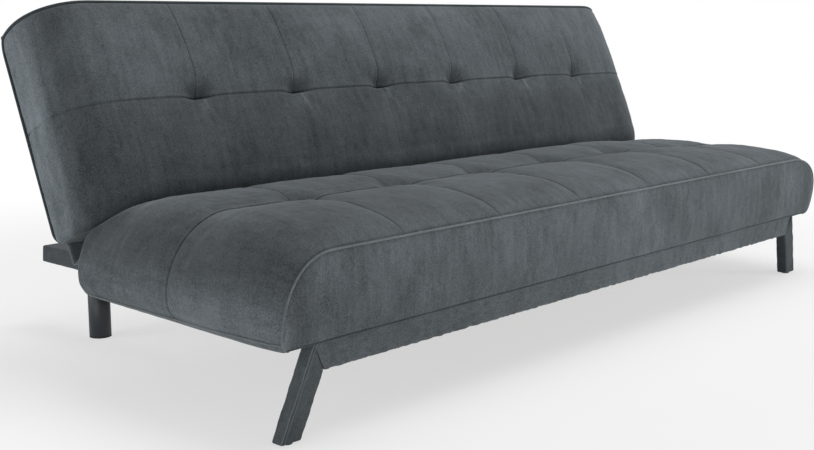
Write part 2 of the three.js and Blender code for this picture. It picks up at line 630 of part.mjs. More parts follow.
const crossX = [-beamX[0] + FIT, beamX[0] - FIT];
place(sofa, "cross_rail_middle",
  boxBetween(crossX, [MID_CROSS_Y - CROSS_THICKNESS / 2, MID_CROSS_Y + CROSS_THICKNESS / 2],
    [beamZ[0], RAIL_TOP]), TIMBER);
place(sofa, "cross_rail_rear",
  boxBetween(crossX, [REAR_LEG_Y - CROSS_THICKNESS / 2, REAR_LEG_Y + CROSS_THICKNESS / 2],
    [beamZ[0], BEAM_TOP - CROSS_TOP_DROP]), VELVET);

for (const [name, x, y, z] of seatFrame) place(sofa, name, boxBetween(x, y, z), TIMBER);
for (const [name, x, y, z] of backFrame) place(back, name, boxBetween(x, y, z), TIMBER);

// Seat pad: grooves for its frame, channels for the beams, slots for the hinges, a shallow
// recess for the dust cover
const seatOpen = SEAT_UNDERSIDE - OVERRUN;
const seatCoverX = [-beamX[0] + COVER_INSET, beamX[0] - COVER_INSET];
const seatCoverY = [SEAT_FRAME_FRONT + COVER_INSET, SEAT_FRAME_REAR - COVER_INSET];
const coverRecess = COVER_THICKNESS + 2 * FIT;
const slotCeiling = PIVOT_Z + SLOT_HEADROOM;
const slotStart = PIVOT_Y - BAND_RADIUS - SLOT_CLEARANCE;
const seatTools = seatFrame.map((rail) => groove(rail, "z", seatOpen));
seatTools.push(boxBetween([seatCoverX[0] - COVER_END_GAP, seatCoverX[1] + COVER_END_GAP],
  [seatCoverY[0] - COVER_END_GAP, seatCoverY[1] + COVER_END_GAP],
  [seatOpen, SEAT_UNDERSIDE + coverRecess]));
for (const [, side] of sides) {
  seatTools.push(sideBox(side, [beamX[0] - FIT, beamX[1] + FIT], [RAIL_REAR, SEAT_DEPTH + OVERRUN],
    [seatOpen, BEAM_TOP + FIT]));
  seatTools.push(sideBox(side, [SLOT_INNER_X, SLOT_OUTER_X], [slotStart, SEAT_DEPTH + OVERRUN],
    [seatOpen, slotCeiling]));
}
place(sofa, "seat_cushion", cut(paddedBlock(seatPad), seatTools), VELVET);
place(sofa, "seat_dust_cover",
  boxBetween(seatCoverX, seatCoverY, [SEAT_UNDERSIDE + FIT, SEAT_UNDERSIDE + FIT + COVER_THICKNESS]),
  DUST_CLOTH);

// Back pad: the same cuts from its rear side, and slots from its bottom panel for the hinge arms
const backOpen = PIVOT_FROM_HEM + OVERRUN;
const backCoverX = [-HALF_WIDTH + 2 * COVER_INSET, HALF_WIDTH - 2 * COVER_INSET];
const backCoverZ = [PIVOT_BELOW_PANEL + COVER_INSET, PIVOT_BELOW_PANEL + BACK_LENGTH - COVER_INSET];
const backCoverY = PIVOT_FROM_HEM - FIT;
const backTools = backFrame.map((rail) => groove(rail, "y", backOpen));
backTools.push(boxBetween([backCoverX[0] - COVER_END_GAP, backCoverX[1] + COVER_END_GAP],
  [PIVOT_FROM_HEM - coverRecess, backOpen],
  [backCoverZ[0] - COVER_END_GAP, backCoverZ[1] + COVER_END_GAP]));
for (const [, side] of sides) {
  backTools.push(sideBox(side, [SLOT_INNER_X, UPRIGHT_INNER_X],
    [-BOSS_RADIUS - OVERRUN, backFrameY[1]],
    [0, PIVOT_BELOW_PANEL + ARM_END_RISE + ARM_END_RADIUS + OVERRUN]));
}
place(back, "back_cushion", cut(paddedBlock(backPad), backTools), VELVET);
place(back, "back_rear_cover",
  boxBetween(backCoverX, [backCoverY - COVER_THICKNESS, backCoverY], backCoverZ), DUST_CLOTH);

// Ratchet hinges

function ring(shape, radius, from, to, steps) {
  for (let i = 0; i <= steps; i += 1) {
    const [y, z] = polar(radius, from + ((to - from) * i) / steps);
    shape.lineTo(y, z);
  }
}

// The seat plate round the pivot: a boss, two spokes and a band that carries the bolts. The
// window between them has ratchet teeth along its inner edge.
function seatPlateShape() {
  const shape = new THREE.Shape();
  const bandStart = WINDOW_START - SPOKE_ANGLE;
  const bandEnd = WINDOW_END + SPOKE_ANGLE;
  const [startY, startZ] = polar(BAND_RADIUS, bandStart);
  shape.moveTo(startY, startZ);
  ring(shape, BAND_RADIUS, bandStart, bandEnd, BAND_STEPS);
  ring(shape, BOSS_RADIUS, bandEnd, bandStart + 360, BOSS_STEPS);
  shape.closePath();
  const window = new THREE.Path();
  const [winY, winZ] = polar(WINDOW_RADIUS, WINDOW_START);
  window.moveTo(winY, winZ);
  ring(window, WINDOW_RADIUS, WINDOW_START, WINDOW_END, WINDOW_STEPS);
  // saw teeth: a steep face holds the hooked pawl and a long slope lets it ride over
  for (let i = 0; i < TOOTH_COUNT; i += 1) {
    const angle = WINDOW_END - i * TOOTH_PITCH;
    const [tipY, tipZ] = polar(TOOTH_TIP, angle);
    const [rootY, rootZ] = polar(TOOTH_ROOT, angle - TOOTH_PITCH);
    window.lineTo(tipY, tipZ);
    window.lineTo(rootY, rootZ);
  }
  const [endY, endZ] = polar(TOOTH_ROOT, WINDOW_START);
  window.lineTo(endY, endZ);
  window.closePath();
  shape.holes.push(window, circle(0, 0, PIVOT_BOLT_RADIUS + FIT));
  for (const angle of BAND_BOLT_ANGLES) {
    const [y, z] = polar(BAND_BOLT_RADIUS, angle);
    shape.holes.push(circle(y, z, BOLT_RADIUS + FIT));
  }
  return shape;
}

function circle(y, z, radius) {
  return new THREE.Path().absarc(y, z, radius, 0, 2 * Math.PI);
}

// A bar with round ends of two sizes
function taperedBar(from, fromRadius, to, toRadius) {
  const along = Math.atan2(to[1] - from[1], to[0] - from[0]);
  const shape = new THREE.Shape();
  shape.absarc(from[0], from[1], fromRadius, along + Math.PI / 2, along + 1.5 * Math.PI);
  shape.absarc(to[0], to[1], toRadius, along - Math.PI / 2, along + Math.PI / 2);
  shape.closePath();
  return shape;
}

// A turned pin or bolt along X: radii with their X values, from the inner end to the outer
function turned(steps) {
  const points = [new THREE.Vector2(0, steps[0][1])];
  for (const [radius, x] of steps) points.push(new THREE.Vector2(radius, x));
  points.push(new THREE.Vector2(0, steps[steps.length - 1][1]));
  return new THREE.LatheGeometry(points, PIN_SIDES).rotateZ(-Math.PI / 2);
}

const seatPlateX = [PLATE_INNER_X, PLATE_OUTER_X];
const armX = [ARM_INNER_X, ARM_OUTER_X];
const mirrored = (side, x) => (side > 0 ? x : [-x[1], -x[0]]);

// Bolt through a plate into a timber rail: the head lies on the plate's inner face
function timberBolt(headFace) {
  return turned([[BOLT_HEAD_RADIUS, headFace - FIT - BOLT_HEAD_HEIGHT], [BOLT_HEAD_RADIUS, headFace - FIT],
    [BOLT_RADIUS, headFace - FIT], [BOLT_RADIUS, headFace + BOLT_LENGTH]]);
}

// The hole that a bolt needs in the timber
function boltHole(y, z, x) {
  const shape = new THREE.Shape().absarc(y, z, BOLT_RADIUS + FIT, 0, 2 * Math.PI);
  return plateAlongX(shape, x, HOLE_SIDES);
}

// Turn a direction in the back's own group: degrees from its length direction, towards its front
function backPolar(radius, degrees) {
  return [-radius * Math.sin(degrees * RAD), radius * Math.cos(degrees * RAD)];
}

const armEnd = [PIVOT_FROM_HEM - ARM_END_FROM_HEM, PIVOT_BELOW_PANEL + ARM_END_RISE];
const pawlPin = backPolar(PAWL_ORBIT, PAWL_OFFSET);
const pawlTip = backPolar(PAWL_TIP_ORBIT, PAWL_OFFSET + PAWL_TIP_OFFSET);

// Places along the arm at given heights above the bottom panel
function onArm(rise) {
  const share = (PIVOT_BELOW_PANEL + rise) / armEnd[1];
  return [armEnd[0] * share, armEnd[1] * share];
}

function backArm(side) {
  const x = mirrored(side, armX);
  const bar = plateAlongX(taperedBar([0, 0], BOSS_RADIUS, armEnd, ARM_END_RADIUS), x);
  const tail = plateAlongX(taperedBar([0, 0], BOSS_RADIUS, pawlPin, ARM_TAIL_RADIUS), x);
  const through = [x[0] - OVERRUN, x[1] + OVERRUN];
  const hole = (place2d, radius) => {
    const shape = new THREE.Shape().absarc(place2d[0], place2d[1], radius, 0, 2 * Math.PI);
    return plateAlongX(shape, through, HOLE_SIDES);
  };
  const holes = [hole([0, 0], PIVOT_BOLT_RADIUS + RUNNING_FIT), hole(pawlPin, PAWL_PIN_RADIUS + FIT)];
  for (const rise of ARM_BOLT_RISES) holes.push(hole(onArm(rise), BOLT_RADIUS + FIT));
  return cut(join([bar, tail]), holes);
}

function pawl(side) {
  const x = mirrored(side, seatPlateX);
  const bar = plateAlongX(taperedBar(pawlPin, PAWL_BOSS_RADIUS, pawlTip, PAWL_TIP_RADIUS), x);
  const hole = circle(pawlPin[0], pawlPin[1], PAWL_PIN_RADIUS + RUNNING_FIT);
  const through = [x[0] - OVERRUN, x[1] + OVERRUN];
  return cut(bar, [plateAlongX(new THREE.Shape(hole.getPoints(HOLE_SIDES)), through)]);
}

// A spring of a few turns round the pawl pin, between the arm and the pin's head
class SpringCurve extends THREE.Curve {
  getPoint(t, target = new THREE.Vector3()) {
    const radius = PAWL_PIN_RADIUS + SPRING_CLEARANCE + SPRING_WIRE / 2;
    const angle = t * SPRING_TURNS * 2 * Math.PI;
    return target.set(t * SPRING_TURNS * SPRING_PITCH, radius * Math.cos(angle), radius * Math.sin(angle));
  }
}

function pawlSpring() {
  const wire = new THREE.Shape().absarc(0, 0, SPRING_WIRE / 2, 0, 2 * Math.PI);
  const steps = SPRING_STEPS * SPRING_TURNS;
  const options = { steps, extrudePath: new SpringCurve(), curveSegments: WIRE_SIDES };
  return new THREE.ExtrudeGeometry(wire, { ...options, bevelEnabled: false });
}

const springLength = SPRING_TURNS * SPRING_PITCH + SPRING_WIRE;
const pinHeadFace = ARM_INNER_X - 2 * FIT - springLength;

// The pivot bolt: a head outside the seat plate and a nut inside the arm
const [nutFace, headFace] = [ARM_INNER_X - FIT, PLATE_OUTER_X + FIT];
const pivotBoltSteps = [[PIVOT_HEAD_RADIUS, nutFace - PIVOT_HEAD_HEIGHT], [PIVOT_HEAD_RADIUS, nutFace],
  [PIVOT_BOLT_RADIUS, nutFace], [PIVOT_BOLT_RADIUS, headFace], [PIVOT_HEAD_RADIUS, headFace],
  [PIVOT_HEAD_RADIUS, headFace + PIVOT_HEAD_HEIGHT]];

for (const [word, side] of sides) {
  const plate = place(sofa, `hinge_seat_plate_${word}`,
    plateAlongX(seatPlateShape(), mirrored(side, seatPlateX), HOLE_SIDES), STEEL);
  plate.position.set(0, PIVOT_Y, PIVOT_Z);
  const bolt = place(sofa, `hinge_pivot_bolt_${word}`, turned(pivotBoltSteps), STEEL);
  bolt.position.set(0, PIVOT_Y, PIVOT_Z);
  bolt.rotation.z = side > 0 ? 0 : Math.PI;
  BAND_BOLT_ANGLES.forEach((angle, i) => {
    const [y, z] = polar(BAND_BOLT_RADIUS, angle);
    const screw = place(sofa, `hinge_plate_bolt_${word}_${i + 1}`, timberBolt(PLATE_INNER_X), STEEL);
    screw.position.set(0, PIVOT_Y + y, PIVOT_Z + z);
    screw.rotation.z = side > 0 ? 0 : Math.PI;
  });

  place(back, `hinge_back_arm_${word}`, backArm(side), STEEL);
  ARM_BOLT_RISES.forEach((rise, i) => {
    const [y, z] = onArm(rise);
    const screw = place(back, `hinge_arm_bolt_${word}_${i + 1}`, timberBolt(ARM_INNER_X), STEEL);
    screw.position.set(0, y, z);
    screw.rotation.z = side > 0 ? 0 : Math.PI;
  });
  place(back, `pawl_${word}`, pawl(side), STEEL);
  const pin = place(back, `pawl_pin_${word}`,
    turned([[PAWL_HEAD_RADIUS, pinHeadFace - PAWL_HEAD_HEIGHT], [PAWL_HEAD_RADIUS, pinHeadFace],
      [PAWL_PIN_RADIUS, pinHeadFace], [PAWL_PIN_RADIUS, PLATE_OUTER_X]]), STEEL);
  pin.position.set(0, pawlPin[0], pawlPin[1]);
  pin.rotation.z = side > 0 ? 0 : Math.PI;
  const spring = place(back, `pawl_spring_${word}`, pawlSpring(), STEEL);
  const springX = pinHeadFace + FIT + SPRING_WIRE / 2;
  spring.position.set(side > 0 ? springX : -springX - SPRING_TURNS * SPRING_PITCH, pawlPin[0], pawlPin[1]);
}

// Holes in the timber for the hinge bolts
for (const [word, side] of sides) {
  const seatRail = sofa.getObjectByName(`seat_frame_side_rail_${word}`);
  const intoRail = mirrored(side, [RAIL_INNER_X - OVERRUN, PLATE_INNER_X + BOLT_LENGTH + OVERRUN]);
  seatRail.geometry = cut(seatRail.geometry, BAND_BOLT_ANGLES.map((angle) => {
    const [y, z] = polar(BAND_BOLT_RADIUS, angle);
    return boltHole(PIVOT_Y + y, PIVOT_Z + z, intoRail);
  }));
  const upright = sofa.getObjectByName(`back_frame_upright_${word}`);
  const intoUpright = mirrored(side, [UPRIGHT_INNER_X - OVERRUN, ARM_INNER_X + BOLT_LENGTH + OVERRUN]);
  upright.geometry = cut(upright.geometry, ARM_BOLT_RISES.map((rise) => {
    const [y, z] = onArm(rise);
    return boltHole(y, z, intoUpright);
  }));
}

// Fabric strip that hangs in a V between the seat's rear edge and the back's rear hem
function hingeStrip() {
  const tilt = BACK_TILT * RAD;
  const [hemY, hemZ] = [PIVOT_FROM_HEM - STRIP_HEM_SETIN, PIVOT_BELOW_PANEL - FIT];
  const rear = [PIVOT_Y + hemY * Math.cos(tilt) + hemZ * Math.sin(tilt),
    PIVOT_Z - hemY * Math.sin(tilt) + hemZ * Math.cos(tilt)];
  const front = [SEAT_DEPTH + FIT, SEAT_REAR_TOP - STRIP_TOP_DROP];
  const low = [SEAT_DEPTH + STRIP_LOW_REACH, SEAT_REAR_TOP - STRIP_LOW_DROP];
  const shape = new THREE.Shape();
  shape.moveTo(front[0], front[1]);
  shape.lineTo(front[0], front[1] - STRIP_THICKNESS);
  shape.lineTo(low[0], low[1] - STRIP_THICKNESS);
  shape.lineTo(rear[0] + STRIP_THICKNESS, rear[1] - STRIP_THICKNESS);
  shape.lineTo(rear[0], rear[1]);
  shape.lineTo(low[0], low[1] + STRIP_THICKNESS);
  shape.closePath();
  const halfLength = HALF_WIDTH - STRIP_END_INSET;
  const notchY = [SEAT_DEPTH - OVERRUN, low[0] - STRIP_THICKNESS];
  const notches = sides.map(([, side]) => sideBox(side, [SLOT_INNER_X, SLOT_OUTER_X], notchY,
    [SEAT_REAR_TOP - STRIP_NOTCH_DROP, SEAT_REAR_TOP]));
  return cut(plateAlongX(shape, [-halfLength, halfLength]), notches);
}
place(sofa, "hinge_strip", hingeStrip(), VELVET);

export default sofa;
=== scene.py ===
"""A click clack sofa bed, upright: its looks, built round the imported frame. Metres, +Z up, and the
sofa's front faces -Y."""
import json
import math
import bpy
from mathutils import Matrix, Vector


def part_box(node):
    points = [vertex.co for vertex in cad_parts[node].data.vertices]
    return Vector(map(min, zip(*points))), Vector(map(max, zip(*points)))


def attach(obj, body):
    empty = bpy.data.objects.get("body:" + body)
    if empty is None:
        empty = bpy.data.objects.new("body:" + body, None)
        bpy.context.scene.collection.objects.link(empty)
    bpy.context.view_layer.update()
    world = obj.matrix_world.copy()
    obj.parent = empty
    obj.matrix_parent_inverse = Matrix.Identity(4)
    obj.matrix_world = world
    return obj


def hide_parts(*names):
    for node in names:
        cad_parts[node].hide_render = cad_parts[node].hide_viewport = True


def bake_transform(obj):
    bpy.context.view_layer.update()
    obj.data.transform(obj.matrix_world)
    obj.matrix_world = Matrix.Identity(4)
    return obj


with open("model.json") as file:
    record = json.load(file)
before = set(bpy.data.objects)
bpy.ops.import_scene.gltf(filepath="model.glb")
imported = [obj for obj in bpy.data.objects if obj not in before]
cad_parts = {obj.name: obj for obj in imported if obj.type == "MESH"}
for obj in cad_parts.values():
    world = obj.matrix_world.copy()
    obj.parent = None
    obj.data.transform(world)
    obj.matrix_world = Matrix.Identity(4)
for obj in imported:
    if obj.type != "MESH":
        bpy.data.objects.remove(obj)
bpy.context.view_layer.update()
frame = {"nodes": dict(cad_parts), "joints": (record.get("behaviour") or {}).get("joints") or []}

from types import SimpleNamespace

import bmesh
import bpy
import numpy as np
from mathutils import Matrix, Vector

# The places of the cross seams, one through each tuft
PANEL_PITCH = 0.277
SEAM_PLACES = [(i - 2.5) * PANEL_PITCH for i in range(6)]

# An end of a pad: its widest place, the hem's place, the height of the widest place, how far in the
# end starts to turn, and how much of the crown is left there
SEAT_LEFT_END = (1.0, 1.0, 0.0, 0.13, 1.0)
SEAT_RIGHT_END = (1.02, 0.986, 0.08, 0.15, 0.5)
BACK_LEFT_END = (1.009, 1.004, 0.045, 0.132, 1.0)
BACK_RIGHT_END = (1.003, 0.998, 0.045, 0.14, 0.5)
END_POWER, END_PADDING_POWER, CROWN_FADE = 2 / 2.2, 0.8, 0.4
FLAT_STEPS, ROUND_STEPS = 60, 900

# Painted light and shade at a pad's end, by the distance from its hem: the colour is made darker
# over the rounded shoulder and lighter along the hem
PAINTED_LIGHT_REACH, PAINTED_LIGHT_TOP = 0.4, 2.5
SEAT_PAINTED_LIGHT = [(0.0, 1.36), (0.03, 1.42), (0.06, 1.34), (0.085, 1.05), (0.11, 0.82), (0.145, 0.72),
            (0.168, 0.8), (0.2, 1.06), (0.28, 1.03)]
BACK_PAINTED_LIGHT = [(0.0, 2.3), (0.03, 2.15), (0.06, 2.05), (0.085, 1.8), (0.11, 1.2), (0.145, 0.85),
            (0.168, 0.9), (0.2, 1.1), (0.28, 1.05)]
# Spots of painted light at each tuft, painted shade above it and a painted highlight below it: how
# far past the seam and above the tuft, and the size across and along
PAINTED_SHADE_SPOT = (-0.008, 0.007, 0.032, 0.02)
PAINTED_HIGHLIGHT_SPOT = (0.006, -0.022, 0.011, 0.017)

# A pad: its length from the near to the far panel, its thickness at the edges and its crown, where
# its tufts lie, how far the two panels swell, how deep its seams, hollows and tufts are, which way
# its folds start, how much fainter its cross seams are below the tufts, the radius of its corners,
# its seeds, and its painted light and shade: at its ends, painted shade above and a painted
# highlight below the tufts, and painted shade over the panel below the long seam
SEAT = SimpleNamespace(
    name="seat", length=0.584, edge=0.166, crown=0.044, ends=(SEAT_LEFT_END, SEAT_RIGHT_END),
    tuft_at=0.276, swells=(0.007, 0.006), seam_sink=0.002, near_sink=0.0085, valley=0.010,
    tuft_sink=0.027, dimple=0.004, gully=0.013, fold_turn=-115, faint=0.0, corner=0.012,
    seed=11, panel_seeds=(31, 35), painted_end_light=SEAT_PAINTED_LIGHT, painted_tuft_shade=0.4, lift=0.0, under=0.0,
)
BACK = SimpleNamespace(
    name="back", length=0.462, edge=0.157, crown=0.034, ends=(BACK_LEFT_END, BACK_RIGHT_END),
    tuft_at=0.235, swells=(0.0, 0.003), seam_sink=0.0012, near_sink=0.0, valley=0.001,
    tuft_sink=0.0105, dimple=0.018, gully=0.0, fold_turn=-72, faint=0.7, corner=0.011,
    # The last number on the line below is the painted shade over the panel below the long seam
    seed=23, panel_seeds=(41, 45), painted_end_light=BACK_PAINTED_LIGHT, painted_tuft_shade=0.4, lift=0.7, under=0.1,
)
# The pads' shoulders: how long they are, and how far they drop
SEAT_SHOULDER, BACK_SHOULDER = (0.108, 0.082), (0.07, 0.062)
SEAT_SHOULDER_SHARES = [
    (0, 0), (0.17, 0.05), (0.3, 0.2), (0.41, 0.42), (0.54, 0.67), (0.71, 0.84), (1, 1)]
SEAT_SHOULDER_ROUND = 0.014
# Where the pads lie: the seat's underside, and the back from its pivot
SEAT_UNDERSIDE = 0.178
PIVOT_FROM_HEM, PIVOT_BELOW_PANEL, BACK_TILT = 0.1024, 0.02, math.radians(23.6)

# Sewing: how far from its seam or tuft each hollow reaches
TUFT_REACH, PINCH_REACH = 0.04, 0.012
SEAM_REACH, CREASE_REACH = 0.02, 0.009
VALLEY_REACH = 0.055
# The dimple over a tuft and the gully through it: how far across, above and below
DIMPLE_REACH = (0.032, 0.025, 0.005)
GULLY_REACH = (0.03, 0.04, 0.09)
# Folds at each tuft: how many, how far they run, how high they are, and what the first two add
FOLD_COUNT = 9
FOLD_REACH, FOLD_HEIGHT = (0.035, 0.085), (0.0004, 0.0012)
MAIN_FOLDS = (0.0042, 0.002)
# The channel pressed by a seam, and the lip above it
CHANNEL_WIDTH, CHANNEL_DEPTH, LIP_AT, LIP_HEIGHT = 0.0016, 0.0017, 0.004, 0.0012

# Edges
EDGE_ROUND, NEAR_SINK_REACH = 0.012, 0.03
# How far the lower edge of the seat's end turns under, at its front and at its rear
HEM_TURN = (0.005, 0.015)
# How far the seat's left end swells out at its middle, and both its ends at the rear
END_SWELL, REAR_END_SWELL, REAR_SWELL_FROM = 0.018, 0.012, 0.3
# How much shorter the back's ends are at their hem, and the thickness where that ends
TOP_CORNER = (0.020, 0.165)
NEAR_CORNER_REACH, FAR_CORNER_REACH = 0.06, 0.09
# The grid: its step, its places beside a seam, and its rows over each shoulder
GRID_STEP = 0.005
SEAM_OFFSETS = (-0.006, -0.0035, -0.002, -0.001, 0.0, 0.001, 0.002, 0.0035, 0.006)
SHOULDER_ROWS = {"seat": 40, "back": 24}

# Cloth simulation, and how much of its swell is used
SIM_STEP, SIM_FRAMES, HELD_REACH = 0.012, 20, 0.001
SIM_CAP, SWELL_SHARE = 0.014, 0.12
SIM_SETTINGS = dict(
    quality=5, mass=0.3, air_damping=1.0, tension_stiffness=30.0, compression_stiffness=30.0,
    shear_stiffness=12.0, bending_stiffness=1.0, use_pressure=True, uniform_pressure_force=4.0,
    shrink_min=-0.012,
)

# Slots for the hinges in the pads: their place in x, half their width, and low and high (y, z)
SEAT_SLOT = (0.8746, 0.0125, (-0.0305, 0.17), (0.06, 0.3208))
BACK_SLOT = (0.8688, 0.0067, (-0.02, 0.0), (0.0904, 0.178))
# The shallow recess for the cover on the rear of the back
BACK_RECESS = ((-0.9605, 0.1002, 0.0395), (0.9605, 0.11, 0.4625))

# Cords and hems: how far out they lie, how far apart their points are, and their radii
CORD_OUT, FRONT_CORD_OUT, CORD_STEP = 0.0012, 0.0014, 0.004
PIPING_RADIUS, SIDE_RADIUS, FRONT_HEM_RADIUS, HEM_ROLL = 0.002, 0.0019, 0.0022, 0.0034
# How the front piping's ends are tucked in, from its first point
TUCK = np.array([[0.012, 0.004, -0.0006], [0.004, 0.0005, 0.0]])
# The hem band's section: how far out and how high each line runs
BAND_HEIGHT = 0.0115
BAND_SECTION = [(-0.006, -0.0012), (CORD_OUT, -0.0012), (0.0022, 0.001),
                (0.0018, BAND_HEIGHT - 0.002), (CORD_OUT, BAND_HEIGHT), (-0.001, BAND_HEIGHT)]

# Base
RAIL_LOW_CORNER, RAIL_HIGH_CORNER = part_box("front_rail")
RAIL_FRONT, RAIL_REAR = RAIL_LOW_CORNER.y, RAIL_HIGH_CORNER.y
RAIL_LOW, RAIL_HIGH = RAIL_LOW_CORNER.z, RAIL_HIGH_CORNER.z
MITRE_LOW_X = RAIL_HIGH_CORNER.x - 0.027
GLIDE_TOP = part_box("front_leg_left")[0].z
LEG_TOP_X, LEG_FOOT_X, LEG_WIDTH = 0.912, 0.9755, 0.047
LEG_DEPTH, LEG_LEAN = 0.029, (0.025 - 0.008) / 0.1777
# Half the gap in the mitre joint, how far the cloth lies below the beams' and the cross rail's
# tops, so that the back can lie on them, and how far a beam's end leans
MITRE_GAP, BEAM_LOWER, CROSS_RAIL_LOWER, BEAM_END_LEAN = 0.0004, 0.0006, 0.0008, 0.005
CLOTH_CORNER = 0.004
SEAT_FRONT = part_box("seat_cushion")[0].y + SEAT.swells[0]
RECLINE = next(j for j in frame["joints"] if j["name"] == "back_recline")
PIVOT = Vector(RECLINE["pos_m"])

# The hinge strip: its bottom behind the seat's front and above the floor, and where the hinges pass
# it: from x to x, and from which height
STRIP_BOTTOM = (0.647, 0.231)
STRIP_SLOT, STRIP_SLOT_FROM = (0.858, 0.888), 0.262
STRIP_THICKNESS, COVER_THICKNESS = 0.0016, 0.0006
# The rear cover of the back: half its width, its low and high end, and how far in it lies
BACK_COVER = (0.96, (0.02, 0.442), 0.001)

# How velvet is brushed on pads, cords and bars: streaks to a metre, across and along
PAD_STREAK, CORD_STREAK, BAR_STREAK = (70, 7, 1), (500, 160, 1), (160, 30, 1)

# Stage. Where the floor turns white, how white it starts, and how strong the world's light is
FLOOR_FADE, FLOOR_WHITE, WORLD_LIGHT = (0.9, 2.5), 0.6, 0.2
# Each lamp: its place, what it points at, its two sizes and its power
LAMPS = [
    ("top_softbox", (0.4, -0.6, 3.6), (0, 0, 0.3), (3.0, 2.0), 63),
    ("top_rear_strip", (0.3, 0.5, 3.0), (0, 0.2, 0.5), (3.0, 0.8), 17),
    ("front_right_fill", (2.2, -2.4, 0.7), (0.9, -0.5, 0.3), (1.0, 0.8), 21),
    ("low_front_strip", (0, -2.2, 0.12), (0, -0.5, 0.3), (3.0, 0.2), 3),
    ("front_floor_bounce", (0, -1.4, 0.01), (0, -1.3, 1.0), (2.6, 0.5), 33),
    ("low_left_fill", (-2.6, -0.6, 0.25), (-1.0, -0.1, 0.2), (1.0, 0.5), 11),
    ("left_rear_rim", (-2.4, 1.2, 0.7), (-1.0, 0.2, 0.5), (1.0, 0.8), 9),
]
CAMERA_LENS, CAMERA_SENSOR = 52.25, 36
CAMERA_AT, CAMERA_DOWN, CAMERA_ROUND = (-2.233, -1.9835, 0.728), 80.006, -46.853


# Numbers

def ripple(x, y, size, seed, terms=18):
    """A smooth random height over a plane, about -1 to 1, with waves of about that size."""
    rng = np.random.default_rng(seed)
    total = np.zeros(np.broadcast(x, y).shape)
    for _ in range(terms):
        angle, phase = rng.uniform(0, 2 * math.pi, 2)
        wave = 2 * math.pi / (size * rng.uniform(0.6, 1.8))
        total += np.sin(wave * (x * math.cos(angle) + y * math.sin(angle)) + phase)
    return total / math.sqrt(terms / 2) / 1.6


def ease(share):
    """From 0 to 1, slow at both ends."""
    share = np.clip(share, 0, 1)
    return share ** 2 * (3 - 2 * share)


def bell(far, reach):
    """1 at no distance, 0 well past the reach."""
    return np.exp(-(far / reach) ** 2)


def corner_in(radius, height):
    """How far a rounded corner lies inside a square one, at a height over its edge."""
    low = radius - np.clip(height, 0, radius)
    return radius - np.sqrt(radius ** 2 - low ** 2)


def smooth_min(a, b, radius):
    return (a + b - np.sqrt((a - b) ** 2 + radius ** 2)) / 2


def smooth_table(table, at):
    """A table of shares read between its rows, with its corners rounded."""
    low, high = np.array(table).T
    return np.mean([np.interp(at + d, low, high) for d in np.linspace(-0.07, 0.07, 9)], axis=0)


def stacked(*parts):
    """Points from their parts, each a number or an array."""
    return np.stack(np.broadcast_arrays(*parts), -1)


def lengths_along(path):
    """The distance from a path's start to each of its points."""
    return np.concatenate([[0], np.cumsum(np.linalg.norm(np.diff(path, axis=0), axis=1))])


def grid_faces(rows, cols, start=0):
    """The faces of a grid of points that are numbered row by row."""
    index = start + np.arange(rows * cols).reshape(rows, cols)
    return np.stack([index[:-1, :-1], index[:-1, 1:], index[1:, 1:], index[1:, :-1]], -1)


def spread_places(total, step, seams, offsets):
    """Places from 0 to total, about a step apart, with a close group at each seam."""
    reach = max(offsets) + step / 2
    plain = [p for p in np.linspace(0, total, round(total / step) + 1)
             if all(abs(p - s) > reach for s in seams)]
    close = [s + o for s in seams for o in offsets if 0 < s + o < total]
    return np.array(sorted({*plain, *close, 0.0, total}))


def coarse_steps(places, step, kept):
    """Indices into sorted places, about a step apart, with each kept place among them."""
    must = {0, len(places) - 1, *[int(np.argmin(np.abs(places - k))) for k in kept]}
    chosen = [0]
    for i in range(1, len(places)):
        next_must = min((m for m in must if m >= i), default=len(places) - 1)
        if i in must or (places[i] - places[chosen[-1]] >= step
                         and places[next_must] - places[i] >= step * 0.6):
            chosen.append(i)
    return np.array(chosen)


def resample(values, coarse, fine, axis):
    """Values at coarse places, read at fine places on a smooth curve."""
    values = np.moveaxis(values, axis, 0)
    slope = np.gradient(values, coarse, axis=0)
    i = np.clip(np.searchsorted(coarse, fine) - 1, 0, len(coarse) - 2)
    gap = coarse[i + 1] - coarse[i]
    s = (fine - coarse[i]) / gap
    shape = (-1,) + (1,) * (values.ndim - 1)
    s, gap = s.reshape(shape), gap.reshape(shape)
    curve = ((2 * s ** 3 - 3 * s ** 2 + 1) * values[i] + (3 * s ** 2 - 2 * s ** 3) * values[i + 1]
             + gap * ((s ** 3 - 2 * s ** 2 + s) * slope[i] + (s ** 3 - s ** 2) * slope[i + 1]))
    return np.moveaxis(curve, 0, axis)


# The form of a pad

def crown_rise(share):
    return np.maximum(1 - np.abs(2 * share - 1) ** 3, 0) ** 0.7


def seam_distance(x):
    return np.min([np.abs(x - p) for p in SEAM_PLACES], axis=0)


